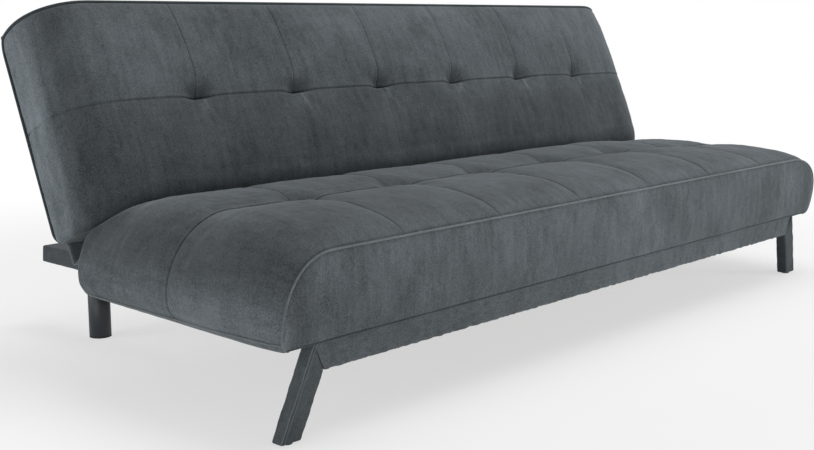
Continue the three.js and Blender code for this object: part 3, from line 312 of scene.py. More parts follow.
def end_outline(pad, end):
    """One end of a pad's section, from its middle over the top to its hem: x, thickness, outward
    direction and padding."""
    widest, hem, base, round_in, left_of_crown = end
    flat_end, height = widest - round_in, pad.edge - base
    angle = np.linspace(0, math.pi / 2, ROUND_STEPS)[1:]
    s, c = np.sin(angle), np.maximum(np.cos(angle), 0)
    flat, one = np.linspace(0, flat_end, FLAT_STEPS), np.ones(FLAT_STEPS)
    fade = np.clip((flat - flat_end + CROWN_FADE) / CROWN_FADE, 0, 1)
    padding = left_of_crown * c ** END_PADDING_POWER
    low = np.linspace(1, 0, FLAT_STEPS)[1:]
    parts = [
        (flat, one * pad.edge, 0 * one, one, 1 - (1 - left_of_crown) * ease(fade)),
        (flat_end + round_in * s ** END_POWER, base + height * c ** END_POWER, height * s,
         round_in * c, padding * ease(c / 0.5) if base > 0 else padding),
        (widest - (widest - hem) * (1 - low) ** 2, base * low, one[1:], 0 * low, 0 * low),
    ]
    x, t, nx, nt, weight = [np.concatenate(c) for c in zip(*parts[:3 if base > 0 else 2])]
    steep = np.hypot(nx, nt)
    around = np.concatenate([[0], np.cumsum(np.hypot(np.diff(x), np.diff(t)))])
    places = spread_places(around[-1], GRID_STEP, [p for p in SEAM_PLACES if p > 0], SEAM_OFFSETS)
    return places, [np.interp(places, around, v) for v in (x, t, nx / steep, nt / steep, weight)]


def section(pad):
    """The section across a pad, from its left hem over the top to its right hem, with the distance
    round it from the middle."""
    (left_places, left), (right_places, right) = [end_outline(pad, end) for end in pad.ends]
    mirror = [v[:0:-1] for v in left]
    mirror[0], mirror[2] = -mirror[0], -mirror[2]
    columns = [np.concatenate([m, r]) for m, r in zip(mirror, right)]
    return np.concatenate([-left_places[:0:-1], right_places]), *columns


def stitching(pad, x, length):
    """How far places lie from the nearest cross seam and above the long seam, and how strongly the
    cross seams show there."""
    above = length - pad.tuft_at
    return seam_distance(x), above, 1 - pad.faint * (above < 0)


def hollow(seam, above, reach):
    """1 at each tuft, and 0 away from it."""
    across, up, down = reach
    return np.exp(-(above / np.where(above > 0, up, down)) ** 2 - (seam / across) ** 2)


def sewing(pad, x, length):
    """How deep the seams and tufts lie below the puffs."""
    seam, above, faint = stitching(pad, x, length)
    broad = np.maximum(faint * bell(seam, SEAM_REACH), bell(above, SEAM_REACH))
    crease = np.maximum(faint * np.exp(-seam / CREASE_REACH),
                        np.exp(-np.abs(above) / CREASE_REACH))
    reach = np.hypot(seam, above)
    tuft = bell(reach, TUFT_REACH)
    pinch = np.exp(-reach / PINCH_REACH)
    valley = pad.valley * bell(above, VALLEY_REACH) * (1 - tuft)
    sink = pad.seam_sink
    return (pad.dimple * hollow(seam, above, DIMPLE_REACH)
            + pad.gully * hollow(seam, above, GULLY_REACH) + valley
            + sink * (0.62 * broad + 0.38 * crease)
            + (pad.tuft_sink - sink) * (0.7 * tuft + 0.3 * pinch))


def folds(pad, x, length):
    """Small folds that run out from each tuft."""
    rng = np.random.default_rng(pad.seed)
    total = np.zeros(x.shape)
    turn = math.radians(pad.fold_turn)
    for place in SEAM_PLACES:
        for k in range(FOLD_COUNT):
            angle = turn + (k + rng.uniform(-0.2, 0.2)) * 2 * math.pi / FOLD_COUNT
            reach, high = rng.uniform(*FOLD_REACH), rng.uniform(*FOLD_HEIGHT)
            high += MAIN_FOLDS[k] if k < len(MAIN_FOLDS) else 0
            dx, dl = x - place, length - pad.tuft_at
            out = dx * math.cos(angle) + dl * math.sin(angle)
            off = -dx * math.sin(angle) + dl * math.cos(angle)
            width = 0.004 + 0.09 * np.maximum(out, 0)
            fade = np.clip(out / 0.008, 0, 1) * bell(np.maximum(out, 0), reach)
            total += high * fade * bell(off, width)
    return total


def pad_heights(pad, x, length, weight, padded_at):
    """How far the cloth stands off the plain section: the crown, less its seams and tufts."""
    rise = crown_rise(padded_at / pad.length)
    return (pad.crown * rise - sewing(pad, x, length) * np.minimum(rise / 0.5, 1)) * weight


def pad_details(pad, x, around, length, weight, padded_at):
    """Fine relief of the cloth: folds at the tufts, waves, and the channels of the seams."""
    soft = np.minimum(crown_rise(padded_at / pad.length) / 0.35, 1)
    out = folds(pad, x, length) * soft * weight
    out += 0.0008 * ripple(around, length, 0.16, pad.seed + 1) * soft
    out += 0.00035 * ripple(around, length * 1.3, 0.045, pad.seed + 2) * soft
    edge = np.minimum(length, pad.length - length)
    seam, above, faint = stitching(pad, x, length)
    channel = np.maximum(faint * bell(seam, CHANNEL_WIDTH), 1.5 * bell(above, CHANNEL_WIDTH))
    lip = bell(above - LIP_AT, CHANNEL_WIDTH)
    out += (LIP_HEIGHT * lip - CHANNEL_DEPTH * channel) * np.clip(edge / 0.006, 0, 1)
    return out - 0.0016 * bell(edge, 0.004) * (length > 0.001)


def link_object(name, data):
    made = bpy.data.objects.new(name, data)
    bpy.context.scene.collection.objects.link(made)
    return made


def inflate(points, held):
    """Blows up a sheet of cloth that is held along its seams: how far each point moves."""
    rows, cols = points.shape[:2]
    mesh = bpy.data.meshes.new("trial")
    mesh.from_pydata(points.reshape(-1, 3), [], grid_faces(rows, cols).reshape(-1, 4).tolist())
    sheet = link_object("trial", mesh)
    pins = sheet.vertex_groups.new(name="held")
    pins.add(np.flatnonzero(held).tolist(), 1.0, "REPLACE")
    cloth = sheet.modifiers.new("cloth", "CLOTH")
    cloth.collision_settings.use_collision = False
    cloth.point_cache.frame_start, cloth.point_cache.frame_end = 1, SIM_FRAMES
    for name, value in SIM_SETTINGS.items():
        setattr(cloth.settings, name, value)
    cloth.settings.effector_weights.gravity = 0
    cloth.settings.vertex_group_mass = pins.name
    for number in range(1, SIM_FRAMES + 1):
        bpy.context.scene.frame_set(number)
    done = sheet.evaluated_get(bpy.context.evaluated_depsgraph_get()).data
    places = np.zeros(rows * cols * 3)
    done.vertices.foreach_get("co", places)
    bpy.data.objects.remove(sheet)
    bpy.context.scene.frame_set(1)
    return places.reshape(points.shape) - points


def cloth_swell(pad, points, around, rows):
    """The swell of a pad's cloth between its seams, from a simulation on a coarser sheet."""
    columns = coarse_steps(around, SIM_STEP, [*SEAM_PLACES])
    lines = coarse_steps(rows, SIM_STEP, [pad.tuft_at])
    start = points[np.ix_(lines, columns)]
    seam = seam_distance(around[columns]) < HELD_REACH
    long_seam = np.abs(rows[lines] - pad.tuft_at) < HELD_REACH
    held = np.zeros(start.shape[:2], bool)
    held[[0, -1]] = held[:, [0, -1]] = True
    held |= long_seam[:, None] | seam[None, :]
    moved = inflate(start, held)
    far = np.linalg.norm(moved, axis=-1, keepdims=True)
    moved *= SWELL_SHARE * np.minimum(far, SIM_CAP) / np.maximum(far, 1e-9)
    return resample(resample(moved, rows[lines], rows, 0), around[columns], around, 1)


def back_end_depth(x):
    """How much thinner the back is at x than at its middle."""
    widest, _, base, round_in, _ = BACK_LEFT_END
    s = np.clip((np.abs(x) - (widest - round_in)) / round_in, 0, 1) ** (1 / END_POWER)
    thinner = (BACK.edge - base) * (1 - np.sqrt(1 - s ** 2) ** END_POWER)
    return thinner + base * (np.abs(x) > widest)


def seat_room(x, length):
    """The height that the back leaves free over the seat's rear shoulder."""
    long, drop = SEAT_SHOULDER
    start = SEAT.length - long
    along = (length - start - back_end_depth(x) * 0.9) / long
    top = SEAT.edge + SEAT.crown * crown_rise(start / SEAT.length)
    return top - drop * smooth_table(SEAT_SHOULDER_SHARES, along) + np.maximum(-along, 0) * long


def pad_rows(pad):
    """A pad's rows: where each lies, where its padding is read, and its scale."""
    count = SHOULDER_ROWS[pad.name]
    if pad.name == "seat":
        start = pad.length - SEAT_SHOULDER[0]
        rows = spread_places(start, GRID_STEP, [pad.tuft_at], SEAM_OFFSETS)
        rows = np.concatenate([rows, np.linspace(start, pad.length, count)[1:]])
        return rows, np.minimum(rows, start), np.ones(len(rows))
    long, drop = BACK_SHOULDER
    top = pad.edge + pad.crown * crown_rise(long / pad.length)
    along = (1 - np.cos(np.linspace(0, math.pi / 2, count)))[:-1]
    plain = long + spread_places(pad.length - long, GRID_STEP, [pad.tuft_at - long],
                                 SEAM_OFFSETS)
    lowered = 1 - (drop / top) * (1 - np.sqrt(1 - (1 - along) ** 2))
    rows = np.concatenate([along * long, plain])
    return rows, np.maximum(rows, long), np.concatenate([lowered, np.ones(len(plain))])


def round_corners(pad, points, length):
    """Rounds a pad's corners at its hem, and draws the back's upper corners in."""
    short = corner_in(pad.corner, points[..., 2])
    if pad.name == "back":
        points[..., 1] += 0.5 * short * ease(1 - length / NEAR_CORNER_REACH)
        short = short + TOP_CORNER[0] * np.clip(1 - points[..., 2] / TOP_CORNER[1], 0, 1)
    points[..., 1] -= short * ease(1 - (pad.length - length) / FAR_CORNER_REACH)


def shape_seat_ends(points, length):
    """Swells the seat's ends out above their hems, and turns their lower edges under."""
    x, high = points[..., 0], points[..., 2]
    outward = np.sign(x)
    at_rear = ease((length - REAR_SWELL_FROM) / (SEAT.length - REAR_SWELL_FROM))
    fuller = np.where(x < 0, END_SWELL * ease(length / 0.22), 0.0)
    fuller += (REAR_END_SWELL - fuller) * at_rear
    off = high - 0.07 + 0.02 * at_rear
    x += outward * fuller * ease(high / 0.035) * bell(off, 0.1 - 0.03 * at_rear)
    turn = HEM_TURN[0] + (HEM_TURN[1] - HEM_TURN[0]) * ease(length / SEAT.length)
    x -= outward * corner_in(turn, high)


def pad_points(pad):
    """The padded top of a pad with its ends, as a grid of (x, length, thickness), and its cloth's
    own places in metres."""
    around, x, t, nx, nt, weight = section(pad)
    rows, read, scale = pad_rows(pad)
    is_seat = pad.name == "seat"
    x_all, around_all, weight_all, length, read = np.broadcast_arrays(
        x, around, weight, rows[:, None], read[:, None])
    out = pad_heights(pad, x_all, length, weight_all, read)
    blunt = pad.length - rows if is_seat else rows
    turn = np.clip(1 - blunt / EDGE_ROUND, 0, 1)[:, None]
    out = out - EDGE_ROUND * (1 - np.sqrt(1 - turn ** 2))
    out = out - pad.near_sink * np.exp(-length / NEAR_SINK_REACH)
    points = np.stack([x + nx * out, length, (t + nt * out) * scale[:, None]], -1)
    if is_seat:
        room = seat_room(points[..., 0], length)
        points[..., 2] = smooth_min(points[..., 2], room, SEAT_SHOULDER_ROUND)
    round_corners(pad, points, length)
    if is_seat:
        shape_seat_ends(points, length)
    hem = [0, -1]
    points[:, hem, 2] = 0
    points = points + cloth_swell(pad, points, around, rows)
    fine = pad_details(pad, x_all, around_all, length, weight_all, read)
    fine[:, hem] = 0
    points += fine[..., None] * stacked(nx, 0 * fine, nt)
    return points, stacked(around_all, length)


def end_panel(pad, outline, cloth, sign, swell, seed, rows=34):
    """A panel that closes one end of a pad, from the outline down to the underside."""
    share = np.linspace(0, 1, rows)[:, None]
    x, length, t = outline[None, :, 0], outline[None, :, 1], outline[None, :, 2]
    low_x = np.clip(x, outline[0, 0], outline[-1, 0])
    x = x + (low_x - x) * share
    bow = (1 - np.abs(2 * share - 1) ** 2.6) ** 0.6 * np.clip(t / pad.edge, 0, 1) ** 0.5
    height = t * (1 - share)
    wave = 0.0013 * ripple(x, height, 0.13, seed) + 0.0004 * ripple(x, height, 0.04, seed + 1)
    out = swell * bow + wave * np.minimum(bow * 1.5, 1)
    return stacked(x, length + sign * out, height), stacked(cloth[None, :, 0], height)


# Meshes

def make_mesh(name, *grids, keep=None, close=False, merge=1e-6):
    """A piece made of grids of points, each with the places of its cloth."""
    faces, count = [], 0
    for points, _ in grids:
        faces.append(grid_faces(*points.shape[:2], count).reshape(-1, 4))
        count += points[..., 0].size
    faces = np.concatenate(faces) if keep is None else faces[0][keep.ravel()]
    points, cloth = [np.concatenate([g.reshape(-1, g.shape[-1]) for g in part])
                     for part in zip(*grids)]
    mesh = bpy.data.meshes.new(name)
    mesh.from_pydata(points, [], faces)
    loops = np.zeros(len(mesh.loops), np.int32)
    mesh.loops.foreach_get("vertex_index", loops)
    layer = mesh.uv_layers.new(name="cloth")
    layer.data.foreach_set("uv", cloth[loops].astype(np.float32).ravel())
    work = bmesh.new()
    work.from_mesh(mesh)
    bmesh.ops.remove_doubles(work, verts=work.verts, dist=merge)
    bmesh.ops.dissolve_degenerate(work, edges=work.edges, dist=merge / 2)
    if close:
        bmesh.ops.holes_fill(work, edges=[e for e in work.edges if e.is_boundary], sides=0)
    bmesh.ops.recalc_face_normals(work, faces=work.faces)
    for face in work.faces:
        face.smooth = len(face.verts) < 5
    work.to_mesh(mesh)
    work.free()
    return link_object(name, mesh)


def to_seat(points):
    return points + np.array([0, SEAT_FRONT, SEAT_UNDERSIDE])


def to_back(points):
    """From a back pad's (x, length, thickness) to the sofa's frame."""
    y = PIVOT_FROM_HEM - points[..., 2]
    z = PIVOT_BELOW_PANEL + points[..., 1]
    c, s = math.cos(BACK_TILT), math.sin(BACK_TILT)
    return np.stack([points[..., 0], PIVOT.y + y * c + z * s, PIVOT.z - y * s + z * c], -1)


def tube(name, path, radius, sides=12):
    """A tube along a path of points, with a rounded cap at each end."""
    path = np.asarray(path, float)
    ahead = np.gradient(path, axis=0)
    ahead /= np.linalg.norm(ahead, axis=1)[:, None]
    side = np.zeros_like(ahead)
    guess = np.array([0.0, 0.0, 1.0]) if abs(ahead[0][2]) < 0.9 else np.array([0.0, 1.0, 0.0])
    for i, a in enumerate(ahead):
        guess = guess - a * (guess @ a)
        guess /= np.linalg.norm(guess)
        side[i] = guess
    other = np.cross(ahead, side)
    angle = np.linspace(0, 2 * math.pi, sides + 1)
    ring = side[:, None] * np.cos(angle)[:, None] + other[:, None] * np.sin(angle)[:, None]
    points = path[:, None] + ring * radius
    caps = []
    for end, sign in ((0, -1), (-1, 1)):
        for a in (0.35, 0.7, 0.92, 1.0):
            r = radius * math.sqrt(max(1 - a * a, 0))
            caps.append((path[end] + sign * ahead[end] * radius * a) + ring[end] * r)
    points = np.concatenate([np.array(caps[3::-1]), points, np.array(caps[4:])])
    along = np.linspace(0, 1, len(points))[:, None]
    return make_mesh(name, (points, stacked(angle * radius, along)))


def cut_with(piece, boxes, turn=0.0):
    """Cuts boxes out of a piece, each given by its low and high corner, turned about the pivot."""
    for low, high in boxes:
        low, high = Vector(low), Vector(high)
        mesh = bpy.data.meshes.new("cutter")
        work = bmesh.new()
        place = Matrix.Translation((low + high) / 2) @ Matrix.Diagonal((*(high - low), 1))
        if turn:
            place = Matrix.Translation(PIVOT) @ Matrix.Rotation(turn, 4, "X") @ place
        bmesh.ops.create_cube(work, size=1, matrix=place)
        work.to_mesh(mesh)
        work.free()
        cutter = link_object("cutter", mesh)
        cut = piece.modifiers.new("cut", "BOOLEAN")
        cut.operation, cut.object, cut.solver = "DIFFERENCE", cutter, "EXACT"
        shaped = piece.evaluated_get(bpy.context.evaluated_depsgraph_get())
        done = bpy.data.meshes.new_from_object(shaped)
        piece.modifiers.clear()
        piece.data = done
        bpy.data.objects.remove(cutter)


def thicken(piece, thickness):
    thick = piece.modifiers.new("thickness", "SOLIDIFY")
    thick.thickness, thick.offset = thickness, 0


# Materials

def fill(tree, node, **inputs):
    """Gives a node its inputs, by socket name or number. A node stands for its first output."""
    for key, value in inputs.items():
        socket = node.inputs[int(key[1:]) if key[0] == "_" else key.replace("_", " ")]
        if isinstance(value, bpy.types.Node):
            value = value.outputs[0]
        if isinstance(value, bpy.types.NodeSocket):
            tree.links.new(value, socket)
        else:
            socket.default_value = value
    return node


def add(tree, kind, settings=None, **inputs):
    made = tree.nodes.new(kind)
    for key, value in (settings or {}).items():
        setattr(made, key, value)
    return fill(tree, made, **inputs)


def new_material(name):
    """A material, with its tree, its shader and the object's own coordinates."""
    material = bpy.data.materials.new(name)
    material.use_nodes = True
    tree = material.node_tree
    space = add(tree, "ShaderNodeTexCoord").outputs["Object"]
    return material, tree, tree.nodes["Principled BSDF"], space


def srgb(*values):
    """A colour written as it shows on a screen, 0 to 255."""
    return tuple((v / 255 / 12.92) if v / 255 < 0.04045 else ((v / 255 + 0.055) / 1.055) ** 2.4
                 for v in values) + (1.0,)


def noise(tree, vector, scale, detail, rough, stretch=(1, 1, 1)):
    moved = add(tree, "ShaderNodeMapping", Scale=stretch, Vector=vector)
    return add(
        tree, "ShaderNodeTexNoise", Vector=moved, Scale=scale, Detail=detail, Roughness=rough)


def calc(tree, operation, *values):
    inputs = {f"_{i}": value for i, value in enumerate(values)}
    return add(tree, "ShaderNodeMath", {"operation": operation}, **inputs)


def blend_values(tree, *parts):
    """The sum of values, each times its weight."""
    total = 0.0
    for value, weight in parts:
        total = calc(tree, "MULTIPLY_ADD", value, weight, total)
    return total


def ramp(tree, value, *stops):
    made = add(tree, "ShaderNodeValToRGB", Fac=value)
    for i, (place, colour) in enumerate(stops):
        point = made.color_ramp.elements[i] if i < 2 else made.color_ramp.elements.new(place)
        point.position, point.color = place, colour
    return made


def relief(tree, *layers):
    """Bumps over one another, each given by its height, strength and distance."""
    below = {}
    for height, strength, distance in layers:
        made = add(tree, "ShaderNodeBump", Height=height, Strength=strength, Distance=distance,
                   **below)
        below = {"Normal": made}
    return made


def spot(tree, along, length, tuft_at, place):
    """1 at one place beside every tuft, 0 away from it, on the cloth's own two measures."""
    past, above, across, up = place
    turns = calc(tree, "DIVIDE", calc(tree, "SUBTRACT", along, past), PANEL_PITCH)
    off = calc(tree, "MULTIPLY", calc(tree, "SUBTRACT", calc(tree, "FRACT", turns), 0.5),
               PANEL_PITCH / across)
    rise = calc(tree, "DIVIDE", calc(tree, "SUBTRACT", length, tuft_at + above), up)
    far = calc(tree, "ADD", calc(tree, "POWER", off, 2.0), calc(tree, "POWER", rise, 2.0))
    near = calc(tree, "EXPONENT", calc(tree, "MULTIPLY", far, -1.0))
    aside = calc(tree, "ABSOLUTE", along)
    inside = calc(tree, "LESS_THAN", aside, SEAM_PLACES[-1] + PANEL_PITCH / 2)
    return calc(tree, "MULTIPLY", near, inside)


def painted_pile_light(tree, colour, cloth, pad):
    """A colour with painted light and shade on a pad: made lighter and darker by the distance from
    its ends' hems, with painted shade above each tuft and a painted highlight below it, and painted
    shade over the panel below the long seam."""
    along, length = add(tree, "ShaderNodeSeparateXYZ", Vector=cloth).outputs[:2]
    # Painted light and shade at the ends: the colour is scaled by a table read at the distance from
    # the hem
    hem_at = end_outline(pad, pad.ends[0])[0][-1]
    share = add(tree, "ShaderNodeMapRange", Value=calc(tree, "ABSOLUTE", along), _1=hem_at,
                _2=hem_at - PAINTED_LIGHT_REACH)
    stops = [(at / PAINTED_LIGHT_REACH, (light / PAINTED_LIGHT_TOP,) * 3 + (1.0,)) for at, light in pad.painted_end_light]
    painted_end_factor = calc(tree, "MULTIPLY", ramp(tree, share, *stops), PAINTED_LIGHT_TOP)
    # Painted shade in a spot above each tuft, and a painted highlight in a spot below it
    light = blend_values(
        tree, (spot(tree, along, length, pad.tuft_at, PAINTED_SHADE_SPOT), -pad.painted_tuft_shade),
        (spot(tree, along, length, pad.tuft_at, PAINTED_HIGHLIGHT_SPOT), pad.lift),
        # Painted shade over the panel below the long seam, near the seat
        (calc(tree, "LESS_THAN", length, pad.tuft_at), -pad.under), (1.0, 1.0))
    total = calc(tree, "MULTIPLY", painted_end_factor, light)
    return add(tree, "ShaderNodeVectorMath", {"operation": "SCALE"}, _0=colour, Scale=total)


def velvet(name, dark, light, seed, streak=PAD_STREAK, sheen=0.3, pad=None):
    """Cut velvet: a soft pile, with brush streaks along the cloth, that shines at a slant."""
    material, tree, shader, space = new_material(name)
    cloth = add(tree, "ShaderNodeUVMap", {"uv_map": "cloth"})
    shifted = add(tree, "ShaderNodeMapping", Vector=cloth, Location=(seed, seed * 0.7, 0))
    blotch = noise(tree, space, 4.5, 4, 0.6)
    patch = noise(tree, space, 17, 4, 0.6, (1.6, 1.6, 0.7))
    mottle = noise(tree, space, 70, 4, 0.7)
    speck = noise(tree, space, 330, 3, 0.8)
    fuzz = noise(tree, space, 1500, 2, 0.6)
    brush = noise(tree, shifted, 1.0, 5, 0.65, streak)
    grain = noise(tree, shifted, 1.0, 2, 0.6, (900, 420, 1))
    value = blend_values(
        tree, (blotch, 0.22), (patch, 0.12), (brush, 0.16), (mottle, 0.1), (speck, 0.4))
    colour = ramp(tree, value, (0.4, srgb(*dark)), (0.6, srgb(*light)))
    if pad is not None:
        # On the pads, painted light and shade are multiplied into the colour
        colour = painted_pile_light(tree, colour, cloth, pad)
    rough = add(tree, "ShaderNodeMapRange", Value=brush, _3=0.78, _4=0.95)
    normal = relief(tree, (brush, 0.22, 0.0016), (grain, 0.3, 0.0004), (fuzz, 0.35, 0.0003))
    fill(tree, shader, Base_Color=colour, Roughness=rough, Normal=normal, Specular_IOR_Level=0.25,
         Sheen_Weight=sheen, Sheen_Roughness=0.38, Sheen_Tint=srgb(204, 211, 217))
    return material


def timber():
    material, tree, shader, space = new_material("pine")
    rings = add(tree, "ShaderNodeTexWave", {"wave_type": "BANDS", "bands_direction": "Z"},
                Vector=space, Scale=28.0, Distortion=5.0, Detail=3.0, Detail_Scale=1.4)
    fibre = noise(tree, space, 1.0, 5, 0.6, (25, 420, 420))
    value = blend_values(tree, (rings.outputs["Fac"], 0.5), (fibre, 0.5))
    colour = ramp(tree, value, (0.25, srgb(168, 124, 74)), (0.75, srgb(214, 178, 128)))
    fill(tree, shader, Base_Color=colour, Roughness=0.62, Normal=relief(tree, (fibre, 0.3, 0.0006)))
    return material


def metal(name, low, high, roughness, metallic, fine=260):
    """A hard surface, a little cloudy, with fine specks."""
    material, tree, shader, space = new_material(name)
    cloud = noise(tree, space, 22, 4, 0.6)
    speck = noise(tree, space, fine, 3, 0.6)
    value = blend_values(tree, (cloud, 0.6), (speck, 0.4))
    rough = add(tree, "ShaderNodeMapRange", Value=speck, _3=roughness - 0.06, _4=roughness + 0.08)
    fill(tree, shader, Base_Color=ramp(tree, value, (0.35, srgb(*low)), (0.65, srgb(*high))),
         Roughness=rough, Metallic=metallic, Normal=relief(tree, (speck, 0.12, 0.0003)))
    return material


def dust_cloth():
    """Black spunbond cloth: pressed dots in a square field over loose fibres."""
    material, tree, shader, space = new_material("spunbond")
    fibre = noise(tree, space, 900, 4, 0.7)
    cell = add(tree, "ShaderNodeTexVoronoi", {"feature": "F1"}, Vector=space, Scale=420.0,
               Randomness=0.15)
    value = blend_values(tree, (fibre, 0.6), (cell, 0.5))
    colour = ramp(tree, value, (0.3, srgb(22, 23, 25)), (0.75, srgb(52, 54, 57)))
    normal = relief(tree, (cell, 0.5, 0.0005), (fibre, 0.4, 0.0004))
    fill(tree, shader, Base_Color=colour, Roughness=0.85, Normal=normal)
    return material


VELVET_SEAT = velvet("seat_velvet", (40, 45, 48), (91, 97, 101), 0, pad=SEAT)
VELVET_BACK = velvet("back_velvet", (40, 45, 48), (92, 98, 102), 2, pad=BACK)
# A lighter copy of the velvet: a painted highlight along the cords and sewn edges
VELVET_PIPING_PAINTED_HIGHLIGHT = velvet("piping_velvet_painted_highlight", (70, 76, 79), (106, 112, 115), 3, CORD_STREAK, 0.6)
# A darker copy of the piping velvet: painted shade, for the back's top piping and the dark line at
# the seat's front hem
VELVET_PAINTED_SHADE = velvet("painted_shade_piping_velvet", (36, 42, 45), (60, 68, 72), 4, CORD_STREAK)
VELVET_BASE = velvet("base_velvet", (50, 56, 59), (98, 104, 108), 5, BAR_STREAK)
# A darker copy of the base velvet: painted shade, for the legs, the beams and the rear cross rail
VELVET_BEAM_PAINTED_SHADE = velvet("beam_velvet_painted_shade", (41, 46, 49), (82, 88, 92), 6, BAR_STREAK)
# A much lighter copy of the velvet: painted light on the hinge strip, which lies in the pads' shadow
VELVET_STRIP_PAINTED_LIGHT = velvet("strip_velvet_painted_light", (78, 85, 89), (128, 135, 139), 7, BAR_STREAK)
PINE = timber()
ZINC = metal("zinc_plate", (150, 155, 160), (196, 199, 202), 0.34, 1.0)
BLACK_PAINT = metal("black_powder_coat", (12, 18, 24), (20, 27, 33), 0.5, 0.0, 1400)
GLIDE = metal("black_nylon", (20, 21, 22), (34, 35, 37), 0.55, 0.0, 700)
DUST = dust_cloth()


def finish_piece(piece, material, slot, body, *nodes):
    """Gives a piece its material, hides the parts it stands for, and sets it on its body. The slot
    is not used.
    """
    piece.data.materials.clear()
    piece.data.materials.append(material)
    if nodes:
        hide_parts(*nodes)
    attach(piece, body)
    return piece


# The two pads

def make_pad(pad, place):
    """A pad as one closed mesh, and the grid of points of its padded top."""
    points, cloth = pad_points(pad)
    grids = [(points, cloth)]
    for row, sign, swell, seed in zip((0, -1), (-1, 1), pad.swells, pad.panel_seeds):
        grids.append(end_panel(pad, points[row], cloth[row], sign, swell, seed))
    grids = [(place(grid), own) for grid, own in grids]
    return make_mesh(f"{pad.name}_pad", *grids, close=True, merge=1e-5), points


def slots(at, half_width, low, high):
    return [((x - half_width, *low), (x + half_width, *high)) for x in (-at, at)]


seat_pad, seat_points = make_pad(SEAT, to_seat)
cut_with(seat_pad, slots(*SEAT_SLOT))
finish_piece(seat_pad, VELVET_SEAT, "velvet", "base", "seat_cushion")
back_pad, back_points = make_pad(BACK, to_back)
cut_with(back_pad, slots(*BACK_SLOT) + [BACK_RECESS], -BACK_TILT)
finish_piece(back_pad, VELVET_BACK, "velvet", "backrest", "back_cushion")


# Cords and hems

def smooth_path(path, reach=3, count=None):
    """A path with its points evenly spread and its corners rounded, its two ends kept."""
    along = lengths_along(path)
    places = np.linspace(0, along[-1], count or max(int(along[-1] / CORD_STEP), 4))
    path = np.stack([np.interp(places, along, path[:, k]) for k in range(3)], -1)
    padded = np.concatenate([path[:1].repeat(reach, 0), path, path[-1:].repeat(reach, 0)])
    mean = sum(padded[i:i + len(path)] for i in range(2 * reach + 1)) / (2 * reach + 1)
    mean[0], mean[-1] = path[0], path[-1]
    return mean


def edge_line(points, row, out, past):
    """The line of piping along a panel's edge, from hem to hem, a little outside both faces."""
    line = points[row].copy()
    turn = np.gradient(line[:, [0, 2]], axis=0)
    turn /= np.linalg.norm(turn, axis=1)[:, None]
    line[:, 0] += -turn[:, 1] * out
    line[:, 2] += turn[:, 0] * out
    line[:, 1] += past
    return line[::2]


def band_line(side, height, out):
    """A line over the seat's end at one height, from the front to the rear."""
    middle = len(seat_points[0]) // 2
    line = []
    for row in seat_points[:, :middle] if side < 0 else seat_points[:, :middle:-1]:
        near = row[row[:, 2] < 0.05]
        line.append([np.interp(height, near[:, 2], near[:, 0]) + side * out, row[0, 1], height])
    return np.array(line)


def back_cord():
    """Up one end of the back, over its top panel and down the other end."""
    left, right = back_points[:, 0].copy(), back_points[:, -1].copy()
    left[:, 0] -= CORD_OUT
    right[:, 0] += CORD_OUT
    top = edge_line(back_points, -1, CORD_OUT, CORD_OUT)
    return to_back(smooth_path(np.concatenate([left[:-2], top[1:-1], right[:-2][::-1]])))


def front_cord():
    """Over the top edge of the seat's front panel, with both ends tucked in."""
    front = edge_line(seat_points, 0, FRONT_CORD_OUT, -CORD_OUT)
    right = front[-1] + TUCK[::-1] * np.array([-1, 1, 1])
    return to_seat(smooth_path(np.concatenate([front[0] + TUCK, front[1:-1], right]), 2))


def side_cord():
    """Over both hem bands and the edge of the seat's rear panel."""
    rear = edge_line(seat_points, -1, CORD_OUT, CORD_OUT)
    left, right = [band_line(side, BAND_HEIGHT, CORD_OUT) for side in (-1, 1)]
    above = rear[rear[:, 2] > BAND_HEIGHT + 0.006]
    return to_seat(smooth_path(np.concatenate([left, above, right[::-1]]), 4))


def front_hem():
    """Along the lower edge of the seat's front panel."""
    low = seat_points[0][[0, -1]]
    x = np.linspace(low[0, 0] + 0.004, low[1, 0] - 0.004, 400)
    sway = 0.0006 * ripple(x, 0 * x, 0.09, 83)
    return to_seat(stacked(x, sway - 0.0004, 0.0012))


def hem_band(word, side, steps=150):
    """The strip sewn along the lower edge of the seat's end."""
    lines = []
    for out, high in BAND_SECTION:
        line = band_line(side, max(high, 0), out)
        line[:, 2] = high + 0.0003 * ripple(line[:, 1], 0 * line[:, 1], 0.03, 91)
        line[:, 0] += side * 0.0004 * ripple(line[:, 1], 0 * line[:, 1] + high * 9, 0.05, 92)
        lines.append(smooth_path(line, count=steps))
    grid = np.stack([*lines, lines[0]], 1)
    count = grid.shape[1]
    middle = grid[:, :-1].mean(axis=1, keepdims=True).repeat(count, 1)
    grid = np.concatenate([middle[:1], grid, middle[-1:]])
    cloth = stacked(grid[..., 1], grid[..., 2] + 0.01 * np.arange(count))
    piece = make_mesh(f"seat_hem_band_{word}", (to_seat(grid), cloth))
    finish_piece(piece, VELVET_BASE, "velvet", "base")


# The back's top piping and the seat's front hem take the darker piping velvet, painted shade; the
# seat's front and side piping take the lighter copy, a painted highlight
for name, path, radius, material, body in (
        ("back_piping", back_cord(), HEM_ROLL, VELVET_PAINTED_SHADE, "backrest"),
        ("seat_front_piping", front_cord(), PIPING_RADIUS, VELVET_PIPING_PAINTED_HIGHLIGHT, "base"),
        ("seat_side_piping", side_cord(), SIDE_RADIUS, VELVET_PIPING_PAINTED_HIGHLIGHT, "base"),
        ("seat_front_hem", front_hem(), FRONT_HEM_RADIUS, VELVET_PAINTED_SHADE, "base")):
    finish_piece(tube(name, path, radius), material, "velvet", body)
hem_band("left", -1)
hem_band("right", 1)


# Base

